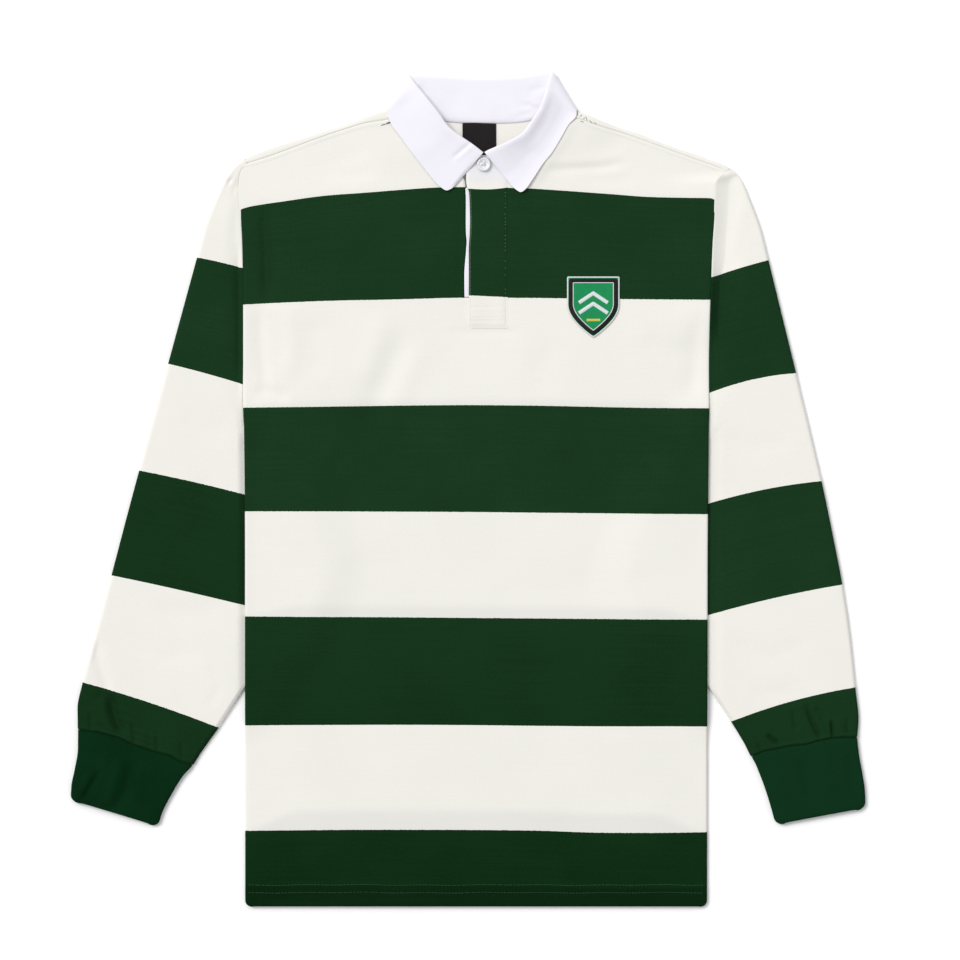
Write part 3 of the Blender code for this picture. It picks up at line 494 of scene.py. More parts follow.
TUCK_RIGHT, TUCK_LEFT = tucked(SLEEVE_RIGHT, edge_curves[-1]), tucked(SLEEVE_LEFT, edge_curves[1])
FALL_BEHIND = [(-78.0, 362.0), (-66.0, 346.0), (-36.0, 340.0), (11.0, 337.5), (58.0, 340.0), (90.0, 345.0), (103.0, 361.0), (80.0, 396.0), (-58.0, 393.0)]  # fmt: skip


def lift(x, y):
    over_sleeve = np.minimum(outside(x, y, TUCK_RIGHT), outside(x, y, TUCK_LEFT))
    over_fall = outside(x, y, FALL_BEHIND)
    return np.maximum(
        TUCK_LIFT * (1.0 - smooth((over_sleeve - 12.0) / 45.0)), COLLAR_LIFT * (1.0 - smooth((over_fall - 14.0) / 40.0))
    )


def back_z(x, y):
    return JERSEY / 2 + lift(x, y)


def room(x, y):
    """Distances in from the body's sides and from its ends."""
    side = np.minimum(x - edge_x(y, -1), edge_x(y, 1) - x)
    neck = (x > NECK_FRONT[0][0]) & (x < NECK_FRONT[-1][0])
    end = np.minimum(y - HEM_Y, np.where(neck, neck_front(x), seam_line(x)) - y)
    return side, end


def front_z(x, y):
    side, end = room(x, y)
    return back_z(x, y) + 2 * BODY_FOLD_R + PUFF * smooth((side - 3.0) / 70.0) * smooth(end / 60.0)


def at_head(y):
    """1 at the sleeve's head, where the armhole seam can't be seen because its two sides run into each other."""
    return smooth((np.asarray(y, float) - 250.0) / 14.0)


def front_relief(x, y):
    """Folds, seam allowances and the doubled hem on the front."""
    side, end = room(x, y)
    z = mix(0.8, 1.5, smooth((y - 5.0) / 70.0)) * folds(x, y, FRONT_FOLDS)
    z = z + 0.55 * mottle(x, y, 105.0, 3) + 0.22 * mottle(x, y * 0.8, 46.0, 4) + 0.07 * mottle(x, y, 19.0, 5)
    z = z * smooth(side / 9.0) * smooth(end / 9.0)
    above = y - HEM_Y
    z = z + 0.45 * smooth((21.5 - above) / 2.2) * smooth(above / 1.5) - 0.3 * np.exp(-(((above - 20.0) / 0.9) ** 2))
    z = z + 0.25 * np.exp(-(((above - 13.5) / 0.8) ** 2)) * -1.0
    head = at_head(y)
    armhole = np.exp(-(((side - 3.6) / 2.6) ** 2)) * smooth((y - 60.0) / 20.0) * (1.0 - head)
    z = z + 0.25 * armhole
    ridge = 3.9 + 1.3 * smooth((206.0 - y) / 14.0)
    z = z + np.where(x > 0, ridge * np.exp(-((side / 34.0) ** 2)) * smooth((302.0 - y) / 14.0) * smooth((y - 122.0) / 48.0), 0.0)
    shoulder = (end > 0) & (y > 240.0)
    z = z + np.where(shoulder, 0.16 * np.exp(-(((end - 2.0) / 1.5) ** 2)) - 0.22 * np.exp(-(((end - 3.9) / 0.8) ** 2)), 0.0)
    z = z - np.where(y > 60.0, 0.6 * np.exp(-((np.maximum(side, 0.0) / 0.75) ** 2)) * (1.0 - head), 0.0)
    z = z - np.where(y > 240.0, np.where(x > 0, 1.1, 0.7) * np.exp(-((np.maximum(end, 0.0) / 0.8) ** 2)), 0.0)
    z = z - 0.08 * head * smooth((1.3 - side) / 1.3)
    return z


def back_relief(x, y):
    side, end = room(x, y)
    z = folds(x, y, BACK_FOLDS) + 0.35 + 0.35 * mottle(x, y, 90.0, 13)
    z = np.clip(z, 0.0, 1.3) * smooth((side - 4.0) / 14.0) * smooth((end - 2.0) / 14.0)
    return z


# ------------------------------------------------------------------ meshes
pieces = {}


def mesh_object(name, verts, faces, look, uvs=None, corner_index=None):
    mesh = bpy.data.meshes.new(name)
    mesh.from_pydata(np.asarray(verts).tolist(), [], [list(map(int, f)) for f in faces])
    if uvs:
        corners = np.zeros(len(mesh.loops), np.int32)
        mesh.loops.foreach_get("vertex_index", corners)
        for uv_name, values in uvs.items():
            layer = mesh.uv_layers.new(name=uv_name)
            layer.data.foreach_set("uv", np.asarray(values, np.float32)[corners].ravel())
    mesh.shade_smooth()
    mesh.materials.append(look)
    made = bpy.data.objects.new(name, mesh)
    bpy.context.scene.collection.objects.link(made)
    pieces[name] = made
    return made


def cloth(name, points, uvs, thickness, look, keep=None, weld=False):
    """A cloth wall on a grid of mid wall points, in mm, with its texture coordinates."""
    import bmesh

    points[..., 2] = np.maximum(points[..., 2], thickness / 2 + 0.03)
    rows, cols = points.shape[:2]
    index = np.arange(rows * cols).reshape(rows, cols)
    quads = np.stack([index[:-1, :-1], index[:-1, 1:], index[1:, 1:], index[1:, :-1]], -1)
    quads = quads[keep] if keep is not None else quads.reshape(-1, 4)
    flat = {k: v.reshape(-1, 2) for k, v in uvs.items()}
    made = mesh_object(name, points.reshape(-1, 3) * MM, quads, look, flat)
    bm = bmesh.new()
    bm.from_mesh(made.data)
    loose = [v for v in bm.verts if not v.link_faces]
    bmesh.ops.delete(bm, geom=loose, context="VERTS")
    if weld:
        bmesh.ops.remove_doubles(bm, verts=bm.verts, dist=2e-6)
    bm.to_mesh(made.data)
    bm.free()
    wall = made.modifiers.new("wall", "SOLIDIFY")
    wall.thickness = thickness * MM
    wall.offset = 0.0
    return made


def spaced(*stops):
    """Values from stop to stop: (end, count) pairs after the first value."""
    values = [float(stops[0])]
    for end, count in stops[1:]:
        values += list(np.linspace(values[-1], end, count + 1)[1:])
    return np.array(values)


# ------------------------------------------------------------------ body
COLUMNS = spaced(-207.5, (-49.0, 56), (SLOT_X[0], 16), (0.5, 3), (SLOT_X[1], 12), (75.5, 15), (222.0, 52))
ROWS = spaced(HEM_Y, (-394.6, 1), (-393.6, 1), (-392.0, 1), (-390.0, 1), (-384.5, 2), (-378.5, 5), (-373.0, 6), (SLOT_Y, 190), (278.0, 34))
EDGE_N = 7


def edge_run(c, sign_towards):
    """The points next to a body edge: how far in, and how far towards the other panel."""
    k = np.linspace(0.0, 1.0, EDGE_N)
    a = mix(math.asin(SEAM / 2 / BODY_FOLD_R), math.pi / 2, k)
    bent_in = JERSEY / 2 + BODY_FOLD_R * (1.0 - np.cos(a))
    bent_to = BODY_FOLD_R * (1.0 - np.sin(a))
    flat_in = SEAM / 2 + 2.6 * k
    return mix(flat_in, bent_in, c), bent_to * c * sign_towards


def curl(y):
    return smooth((UNDERARM_Y + CURL_ABOVE - y) / CURL_ABOVE)


def column_x(u, y):
    left = u + smooth((-u - 50.0) / 162.0) * (edge_x(y, -1) + 212.0)
    right = u + smooth((u - 80.0) / 147.0) * (edge_x(y, 1) - 227.0)
    return np.where(u < 0, left, right)


slit_bow = curve(
    [182.0, 188.7, 203.0, 215.2, 226.6, 236.1, 240.8, 255.0, 274.0, 281.5, 287.5, 293.0, 301.0, 320.0],
    [0.0, -0.1, -0.2, 0.5, 1.5, 1.8, 1.2, 0.85, 0.9, 1.0, 0.0, -4.0, -5.4, -5.0],
)


def slit_shift(u, y, y_px):
    """The slit's edge bows a little along its length."""
    return np.where(y > SLOT_Y - 8.0, slit_bow(y) * smooth((y - SLOT_Y + 8.0) / 8.0) * np.exp(-(((u - SLOT_X[0]) / 11.0) ** 2)), 0.0)


def body_grid(height, towards, tops, edge_tops, n_top):
    """Level rows, then rows that open out to the top line. Returns x, y and z."""
    share = np.concatenate([np.linspace(0, 1, n_top + 1)[1:-1], [1 - 1.2 / 60, 1 - 0.5 / 60, 1.0]])
    xs, ys, zs = [], [], []
    for k in range(len(ROWS) + len(share)):
        level = k < len(ROWS)
        t = 0.0 if level else share[k - len(ROWS)]
        base = ROWS[k] if level else 278.0
        e = {s: base if level else mix(278.0, edge_tops[s], t) for s in (-1, 1)}
        pseudo = base if level else mix(278.0, 305.0, t)
        where = np.where(COLUMNS < 0, e[-1], e[1])
        x = column_x(COLUMNS, where)
        x = x + (0.0 if towards > 0 else slit_shift(COLUMNS, np.full_like(x, base if level else pseudo), None))
        y = np.full_like(x, base) if level else mix(278.0, tops(x), t)
        row_x, row_y, row_z = [], [], []
        for s in (-1, 1):
            inward, to = edge_run(float(curl(e[s])), towards)
            ex = float(edge_x(e[s], s)) - s * inward
            ey = np.full_like(ex, e[s]) if level else e[s] + t * (tops(ex) - tops(ex[:1]))
            ez = height(ex, ey) + to
            if s < 0:
                row_x += [ex, x]
                row_y += [ey, y]
                row_z += [ez, height(x, y)]
            else:
                row_x.append(ex[::-1])
                row_y.append(ey[::-1])
                row_z.append(ez[::-1])
        xs.append(np.concatenate(row_x))
        ys.append(np.concatenate(row_y))
        zs.append(np.concatenate(row_z))
    return np.array(xs), np.array(ys), np.array(zs)


def meets_edge(line, s):
    """The height at which a line across the shoulder meets the body's edge."""
    low, high = 290.0, 318.0
    for _ in range(40):
        y = (low + high) / 2
        if float(line(edge_x(y, s))) > y:
            low = y
        else:
            high = y
    return y


def make_front(look):
    def tops(x):
        neck = (x > NECK_FRONT[0][0]) & (x < NECK_FRONT[-1][0])
        return np.where(neck, neck_front(x), seam_line(x)) - SEAM / 2

    edge_tops = {s: meets_edge(lambda x: seam_line(x) - SEAM / 2, s) for s in (-1, 1)}
    x, y, z = body_grid(front_z, -1, tops, edge_tops, 30)
    z = z + front_relief(x, y)
    h = body_hoops(x, y)
    keep = np.ones((x.shape[0] - 1, x.shape[1] - 1), bool)
    first = EDGE_N + int(np.argmin(abs(COLUMNS - SLOT_X[0])))
    last = EDGE_N + int(np.argmin(abs(COLUMNS - SLOT_X[1])))
    bottom = int(np.argmin(abs(ROWS - SLOT_Y)))
    keep[bottom:, first:last] = False
    uvs = {"cloth": np.stack([x * MM, h * HOOP * MM], -1), "hoop": np.stack([h, green_behind(x, y)], -1)}
    return cloth("front_cloth", np.stack([x, y, z], -1), uvs, JERSEY, look, keep)


def make_back(look):
    def is_neck(x):
        return (x > NECK_BACK[0][0]) & (x < NECK_BACK[-1][0])

    r, half = BODY_FOLD_R, JERSEY / 2

    def tops(x):
        return np.where(is_neck(x), neck_back(x), fold_line(x) - half - r)

    edge_tops = {s: meets_edge(lambda x: fold_line(x) - half - r, s) for s in (-1, 1)}
    x, y, z = body_grid(back_z, 1, tops, edge_tops, 30)
    z = z + back_relief(x, y)
    n_body = x.shape[0]
    top_x, top_y, top_z = x[-1], y[-1], z[-1]
    more = []
    for a in np.linspace(0.0, math.pi, 11)[1:]:
        more.append((top_y + r * math.sin(a), top_z + r * (1.0 - math.cos(a))))
    seam_y = seam_line(top_x) + SEAM / 2
    puff = [(0.25, 0.15), (0.5, 0.3), (0.75, 0.3), (0.9, 0.05), (1.0, -0.6)]
    for t, up in puff:
        more.append((mix(more[9][0], seam_y, t), top_z + 2 * r + up))
    for ny, nz in more:
        nx = top_x.copy()
        for s, cols in ((-1, range(EDGE_N)), (1, range(len(top_x) - EDGE_N, len(top_x)))):
            for c in cols:
                k = c if s < 0 else len(top_x) - 1 - c
                outer = ny[0] if s < 0 else ny[-1]
                nx[c] = float(edge_x(outer, s)) - s * (SEAM / 2 + 2.6 * k / (EDGE_N - 1))
        x, y, z = np.vstack([x, nx]), np.vstack([y, ny]), np.vstack([z, nz])
    keep = np.ones((x.shape[0] - 1, x.shape[1] - 1), bool)
    first = EDGE_N + int(np.argmin(abs(COLUMNS - NECK_BACK[0][0])))
    last = EDGE_N + int(np.argmin(abs(COLUMNS - NECK_BACK[-1][0])))
    keep[n_body - 1 :, first:last] = False
    h = body_hoops(x, y, True)
    uvs = {"cloth": np.stack([x * MM, h * HOOP * MM], -1), "hoop": np.stack([h, np.zeros_like(h)], -1)}
    return cloth("back_cloth", np.stack([x, y, z], -1), uvs, JERSEY, look, keep)


# ------------------------------------------------------------------ sleeves
CUFF_WAVE = {
    -1: curve([-371.0, -369.0, -346.5, -330.4, -318.3, -310.2, -298.2, -282.1, -274.1, -263.9, -261.5], [0.6, 0.6, -2.5, -3.0, -0.8, -0.4, 0.0, -0.9, 1.7, 1.3, 1.3]),
    1: curve([268.0, 269.1, 280.9, 295.5, 306.4, 320.8, 329.9, 342.6, 357.1, 367.0, 369.0], [2.2, 2.2, -0.5, -0.9, -1.3, -0.3, -1.6, -2.2, -0.7, 0.7, 0.7]),
}  # fmt: skip


def cuff_wave(x, sign):
    """How far the sewn end of a sleeve strays from a straight line, in picture units downwards."""
    return CUFF_WAVE[sign](x)


def make_sleeve(name, rows, sign, own_folds, look):
    n = len(rows)
    k0 = next(k for k, r in enumerate(rows) if r[2] is not None)
    at = np.arange(n)
    half = JERSEY / 2
    out_x, out_y, in_y = (curve(at, [r[c] for r in rows]) for c in (0, 1, 3))
    joined = float(edge_curves[sign](rows[k0 - 1][3])) - sign * 0.85
    in_x = curve([k0 - 1, *range(k0, n)], [joined, *[r[2] for r in rows[k0:]]])
    lengths = [max(math.hypot(b[0] - a[0], b[1] - a[1]), abs(b[3] - a[3])) for a, b in zip(rows[:-1], rows[1:])]
    steps = [0.0]
    while steps[-1] < n - 1:
        k = min(int(steps[-1]), n - 2)
        left = sum(lengths[k + 1 :]) + (k + 1 - steps[-1]) * lengths[k]
        pace = mix(0.95, 2.6, float(smooth((left - 46.0) / 14.0)))
        steps.append(min(steps[-1] + pace / lengths[k], n - 1.0))
    steps = [s for s in steps if s < n - 1 - 0.06] + [n - 1 - 0.05, n - 1 - 0.025, n - 1 - 0.01, float(n - 1)]
    inner_n, outer_n, across, across_low = 5, 11, 100, 26
    grid, uv_across, layer = [], [], []
    for t in steps:
        iy, ox, oy = float(in_y(t)), float(out_x(t)), float(out_y(t))
        closed = float(smooth((t - (k0 - 1)) / 1.0))
        is_closed = t > k0 - 1
        c = 1.0 if is_closed else float(curl(iy))
        ix = float(in_x(t)) if is_closed else float(edge_curves[sign](iy)) + sign * (SEAM / 2 - 1.0 * c - 1.6 * float(at_head(iy)))
        if is_closed:
            # just below the underarm its fold stays under the body's edge
            limit = abs(float(edge_curves[sign](iy))) - 1.1
            ix = mix(ix, sign * min(abs(ix), limit), float(smooth((iy + 5.0) / 20.0)))
        width = math.hypot(ox - ix, oy - iy)
        r_out = mix(BODY_FOLD_R, SLEEVE_FOLD_R, float(smooth(t / 3.0)))
        r_out = min(r_out, 0.3 * width)
        low, high = half, half + 2 * r_out
        bx = float(edge_curves[sign](iy)) - sign * 0.5
        # towards the underarm it comes down to go under the body
        down = float(smooth((118.0 - iy) / 52.0))
        open_middle = float(back_z(np.array([bx]), np.array([iy]))[0]) + BODY_FOLD_R - 3.0 * down
        middle = mix(open_middle, half + UNDERARM_FOLD_R, closed)
        bend = mix(BODY_FOLD_R - 0.9 * c, UNDERARM_FOLD_R, closed)
        in_high, in_low = middle + bend, middle - bend
        hidden = abs(float(edge_curves[sign](iy))) + 4.0 - abs(ix)
        pressed = mix(0.0, max(hidden / max(abs(ox - ix), 1.0), 0.2), closed)
        flat_start = min(2.6, 0.2 * width)
        a = np.linspace(math.pi / 2, 0.0, inner_n)
        arc_d, arc_z = bend * (1 - np.sin(a)), bend * np.cos(a)
        line_d = flat_start * np.linspace(0, 1, inner_n)
        if is_closed:
            d_in, z_up, z_dn = arc_d, middle + arc_z, middle - arc_z
        else:
            d_in, z_up, z_dn = line_d, np.full(inner_n, in_high), np.full(inner_n, in_low)
        end = width - half - r_out
        d_mid = np.linspace(d_in[-1], end, across + 2)[1:-1]
        d_low = np.linspace(d_in[-1], end, across_low + 2)[1:-1]
        share = d_mid / width
        if is_closed:
            # it lies under the body's edge and rises beside it, more slowly on the left sleeve
            beside = sign * (mix(ix, ox, share) - edge_curves[sign](mix(iy, oy, share)))
            z_mid = mix(in_high, high, smooth(beside / (7.0 if sign < 0 else 15.0)))
        else:
            z_mid = mix(in_high, high, smooth(d_mid / mix(0.5 * width, 9.0, down)))
        sink = np.ones_like(d_low) if is_closed else smooth(d_low / min(0.4 * width, 30.0))
        b = np.linspace(0.0, math.pi, outer_n)
        d_out, z_out = end + r_out * np.sin(b), low + r_out + r_out * np.cos(b)
        d = np.concatenate([d_in, d_mid, d_out, d_low[::-1], d_in[::-1]])
        z = np.concatenate([z_up, z_mid, z_out, mix(in_low, low, sink)[::-1], z_dn[::-1]])
        up = np.concatenate([np.ones(inner_n + across), np.cos(b), -np.ones(inner_n + across_low)])
        s = d / width
        grid.append(np.stack([mix(ix, ox, s), mix(iy, oy, s), z], -1))
        run = np.concatenate([[0.0], np.cumsum(np.hypot(np.diff(d), np.diff(z)))])
        uv_across.append(run - run[-1] / 2)
        layer.append(up)
    grid, uv_across, up = np.array(grid), np.array(uv_across), np.array(layer)
    x, y = grid[..., 0], grid[..., 1]
    along = np.array(steps)[:, None] / (n - 1)
    d_edge = np.minimum(
        to_line(x, y, [(r[0], r[1]) for r in rows])[0],
        np.where(along * (n - 1) > k0, 99.0, sign * (x - edge_curves[sign](np.clip(y, 43.0, 315.0)))),
    )
    calm = smooth((d_edge - 0.4) / 5.0)
    top = own_relief = folds(x, y, own_folds) + 0.35 * mottle(x, y, 70.0, 21 + sign) + 0.14 * mottle(x, y, 27.0, 25 + sign)
    covered = np.where(y < 56.0, smooth((sign * (x - edge_curves[sign](y)) - 1.0) / 7.0), 1.0)
    under = np.clip(folds(x, y, SLEEVE_UNDER_FOLDS) + 0.25 + 0.3 * mottle(x, y, 60.0, 31 + sign), 0.0, 1.1)
    to_cuff = np.hypot(x - x[-1:, :], y - y[-1:, :])
    end_calm = smooth(to_cuff / 3.0)
    relief = np.where(up > 0, top * up * covered, under * -up) * calm * (0.45 + 0.55 * end_calm)
    # the seams: a sunk line where cloth meets cloth, and the doubled allowance beside it
    near_cuff = np.where(up > 0, 1.1 * np.exp(-(((to_cuff - 2.6) / 1.3) ** 2)) - 1.1 * np.exp(-((to_cuff / 0.9) ** 2)), 0.0)
    inner = sign * (x - edge_curves[sign](np.clip(y, 43.0, 315.0)))
    head = at_head(y)
    at_armhole = np.where((up > 0) & (y > 60.0), -0.6 * np.exp(-((np.maximum(inner, 0.0) / 0.75) ** 2)) * (1.0 - head), 0.0)
    dip = smooth((0.2 - inner) / 1.5) * head * (y > 200.0)
    at_armhole = at_armhole + np.where(up > 0, -0.08 * dip, 0.45 * dip)
    if sign < 0:
        # a small tuck at the shoulder point
        tx, ty = place(236.8, 185.5)
        at_armhole = at_armhole - np.where(up > 0, 1.5 * np.exp(-(((x - tx) / 5.0) ** 2) - ((y - ty) / 4.5) ** 2), 0.0)
    if sign > 0:
        # beside the armhole the sleeve drops off a ridge and then lies flat
        wide = mix(9.0, 13.0, smooth((y - 190.0) / 35.0))
        steep = smooth((206.0 - y) / 14.0)
        ridge, low = 3.9 + 1.3 * steep, 2.1 + 1.2 * steep
        drop = ridge - (ridge + low) * (1.0 - (1.0 - np.clip(inner / wide, 0.0, 1.0)) ** 1.25) + low * smooth((inner - wide - 1.0) / 24.0)
        at_armhole = at_armhole + np.where(up > 0, np.clip(up, 0, 1) * drop * smooth((301.0 - y) / 5.0) * smooth((y - 122.0) / 48.0), 0.0)
    grid[..., 2] = grid[..., 2] + relief + near_cuff + at_armhole
    grid[..., 1] = y - SCALE * cuff_wave(x, sign) * (1.0 - smooth(to_cuff / 14.0))
    h = sleeve_hoops(x, y, sign) + (4.0 if sign < 0 else 14.0)
    uvs = {"cloth": np.stack([uv_across * MM, h * HOOP * MM], -1), "hoop": np.stack([h, np.zeros_like(h)], -1)}
    return cloth(name, grid, uvs, JERSEY, look, None, True)


def make_cuff(name, rows, sign, look):
    n = len(rows)
    at = np.arange(n)
    out_x, out_y, in_x, in_y = (curve(at, [r[c] for r in rows]) for c in range(4))
    half, r_in, r_out = RIB / 2, 1.7, 2.0
    length = math.hypot(rows[-1][2] - rows[0][2], rows[-1][3] - rows[0][3])
    steps = np.concatenate([[0.0, 0.02, 0.045], np.linspace(0.08, n - 1 - 0.3, 44), n - 1 - np.array([0.24, 0.18, 0.13, 0.09, 0.055, 0.03, 0.012, 0.0])])
    grid, across, downs, ups = [], [], [], []
    for t in steps:
        ox, oy, ix, iy = (float(f(t)) for f in (out_x, out_y, in_x, in_y))
        width = math.hypot(ox - ix, oy - iy)
        to_end = (n - 1 - t) / (n - 1) * length
        corner = 6.0
        cut = corner - math.sqrt(max(corner**2 - max(corner - to_end, 0.0) ** 2, 0.0))
        pinch = 0.0
        start, end = half + r_in + cut, width - half - r_out - cut
        a = np.linspace(0, math.pi, 9)
        b = np.linspace(math.pi / 2, 0, 6)
        k = np.linspace(0, 1, 42)[1:-1]
        d_up = mix(start, end, k)
        z_up = half + 2 * mix(r_in, r_out, k) + 0.4 * np.sin(k * math.pi) ** 0.5
        d = np.concatenate([start - r_in * np.sin(b), d_up, end + r_out * np.sin(a), d_up[::-1], (start - r_in * np.sin(b))[::-1]])
        z = np.concatenate([half + r_in + r_in * np.cos(b), z_up, half + r_out + r_out * np.cos(a), np.full(len(k), half), (half + r_in - r_in * np.cos(b))[::-1]])
        up = np.concatenate([np.cos(b), np.ones(len(k)), np.cos(a), -np.ones(len(k)), -np.cos(b)[::-1]])
        grid.append(np.stack([mix(ix, ox, d / width), mix(iy, oy, d / width), z + pinch], -1))
        run = np.concatenate([[0.0], np.cumsum(np.hypot(np.diff(d), np.diff(z)))])
        across.append(run / run[-1] * 2 * 97.0)
        downs.append(np.full(len(d), t / (n - 1) * length))
        ups.append(up)
    grid, across, down, up = np.array(grid), np.array(across), np.array(downs), np.array(ups)
    x, y = grid[..., 0], grid[..., 1]
    to_end = length - down
    relief = (folds(x, y, CUFF_FOLDS) + 0.3 * mottle(x, y, 34.0, 41 + sign)) * smooth(to_end / 8.0) * smooth(down / 5.0)
    under = np.clip(-0.8 * relief + 0.1, 0.0, 0.8)
    z = grid[..., 2] + np.where(up > 0, relief * up, under * -up)
    z = z + np.where(up > 0, 1.0, 0.0) * up * (-1.5 * np.exp(-((down / 1.3) ** 2)))
    rounding = 1.5 * np.exp(-((to_end / 1.6) ** 2))
    z = z - np.sign(up) * np.minimum(rounding, 0.9) * (abs(up) > 0.3)
    grid[..., 2] = z
    grid[..., 1] = y - SCALE * cuff_wave(x, sign) * (1.0 - smooth(down / 14.0))
    uvs = {"cloth": np.stack([across * MM + (1.0 if sign > 0 else 0.0), down * MM], -1)}
    return cloth(name, grid, uvs, RIB, look, None, True)


# ------------------------------------------------------------------ collar
def make_collar(look):
    lines = []
    for bx, by, b_up, rx, ry, rz, ex, ey, e_up, turn in COLLAR:
        angle = math.radians(90.0 * turn)
        out = COLLAR_OUT_RIGHT if rx < 12.0 else COLLAR_OUT_LEFT
        normal = np.array((out[0] * math.cos(angle), out[1] * math.cos(angle), math.sin(angle)))
        if turn > 0:
            bz = float(front_z(np.array([bx]), np.array([by]))[0]) + b_up
            ez = float(front_z(np.array([ex]), np.array([ey]))[0]) + e_up
        elif turn < 0:
            bz, ez = b_up, e_up
        else:
            bz, ez = 5.6, 4.6
        base, roll, edge = np.array((bx, by, bz)), np.array((rx, ry, rz)), np.array((ex, ey, ez))
        to_base = (base - roll) / np.linalg.norm(base - roll)
        to_edge = (edge - roll) / np.linalg.norm(edge - roll)
        r = ROLL_R if turn > -0.5 else 2.0
        stand, fall = roll + to_base * r - normal * r, roll + to_edge * r + normal * r
        middle = (to_base + to_edge) / 2
        bend = [roll + middle * 0.3 * r - normal * 0.72 * r, roll, roll + middle * 0.3 * r + normal * 0.72 * r]
        line = [base, mix(base, stand, 0.5), stand, *bend, fall]
        for t in (0.2, 0.4, 0.6, 0.8, 1.0):
            p = mix(fall, edge, t)
            sag = 0.0 if turn < 0.9 else 1.5 * math.sin(math.pi * min(t * 1.1, 1.0)) ** 1.2 * (1 - t * 0.4)
            if turn > 0.9 and rx > 12.0:
                sag = 2.9 * math.sin(math.pi * t**1.36)
            p[2] = p[2] - sag
            line.append(p)
        lines.append(line)
    lines = np.array(lines)  # station, point, xyz
    step = np.sqrt(np.linalg.norm(np.diff(lines, axis=0), axis=2)).mean(1) ** 2
    t = np.concatenate([[0.0], np.cumsum(step)])
    fine_t = np.linspace(0, t[-1], 330)
    fine_t = np.concatenate([[0.0, 0.35, 0.8, 1.4], fine_t[2:-2], t[-1] - np.array([1.4, 0.8, 0.35, 0.0])])
    tracks = np.zeros((len(fine_t), lines.shape[1], 3))
    for k in range(lines.shape[1]):
        for c in range(3):
            tracks[:, k, c] = curve(t, lines[:, k, c])(fine_t)
    rows = []
    lengths = np.linalg.norm(np.diff(tracks, axis=1), axis=2)
    s = np.concatenate([np.zeros((len(fine_t), 1)), np.cumsum(lengths, axis=1)], axis=1)
    typical = s.mean(0) / s.mean(0)[-1]
    want = np.concatenate([np.linspace(0, typical[2], 17)[:-1], np.linspace(typical[2], typical[6], 13)[:-1], np.linspace(typical[6], 1, 24)[:-1], [0.993, 0.997, 1.0]])
    for i in range(len(fine_t)):
        own = s[i] / s[i][-1]
        # keep the roll at the same share of the rows at every station
        target = np.interp(want, typical, own)
        target[-3:] = [own[-1] - 0.007, own[-1] - 0.003, own[-1]]
        target = np.maximum.accumulate(target)
        rows.append(np.stack([curve(own, tracks[i, :, c])(target) for c in range(3)], -1))
    grid = np.array(rows)
    x, y = grid[..., 0], grid[..., 1]
    along = np.concatenate([[0.0], np.cumsum(np.linalg.norm(np.diff(grid[:, -1], axis=0), axis=1))])
    edge_calm = np.minimum(smooth((s[:, -1:] * (1 - want)[None, :]) / 3.0), 1.0)
    ends = smooth(np.minimum(fine_t, t[-1] - fine_t) / 4.0)[:, None]
    relief = (folds(x, y, COLLAR_FOLDS) + 0.3 * mottle(x, y, 38.0, 51)) * edge_calm * ends
    base_fade = smooth(want / 0.05)[None, :]
    grid[..., 2] = grid[..., 2] + relief * base_fade
    # behind the neck the stand's edge is sewn down onto the back
    turned_in = smooth(-curve(t, [row[9] for row in COLLAR])(fine_t) * 1.6)[:, None]
    from_base = s[:, -1:] * want[None, :]
    grid[..., 2] = grid[..., 2] - 1.8 * turned_in * (1.0 - smooth(from_base / 3.2))
    across = np.cumsum(np.concatenate([np.zeros((len(fine_t), 1)), np.linalg.norm(np.diff(grid, axis=1), axis=2)], 1), 1)
    uvs = {"cloth": np.stack([np.repeat(along[:, None], grid.shape[1], 1) * MM, across * MM], -1)}
    return cloth("collar_cloth", grid, uvs, TWILL, look)


# ------------------------------------------------------------------ strips, label, patch, button
def placket_left(y):
    return curve([PLACKET_Y, 215.2, 226.6, 236.1, 240.8, 255.0, 264.5, 274.0, 281.5, 286.5, 292.0, 317.0], [0.35, 0.35, 0.3, 0.75, 1.2, 1.5, 1.3, 1.0, 0.6, -1.4, -2.2, -2.2])(y)


def placket_z(x, y):
    reach = mix(9.0, 3.6, smooth((y - 176.0) / 14.0))
    raised = smooth((PLACKET_X[1] - x) / reach) * smooth((y - PLACKET_Y) / 11.0) * mix(1.0, 0.42, smooth((x - 2.0) / 24.0))
    raised = 0.1 + 0.9 * raised
    sunk = (1.0 - smooth((PLACKET_X[1] - x) / 1.1)) + (1.0 - smooth((y - PLACKET_Y) / 1.1))
    lying = front_z(x, y) + front_relief(x, y) * mix(1.0, 0.6, (raised - 0.1) / 0.9)
    return lying + (JERSEY / 2 + LIE + STRIP / 2) * raised - 0.16 * np.minimum(sunk, 1.0)


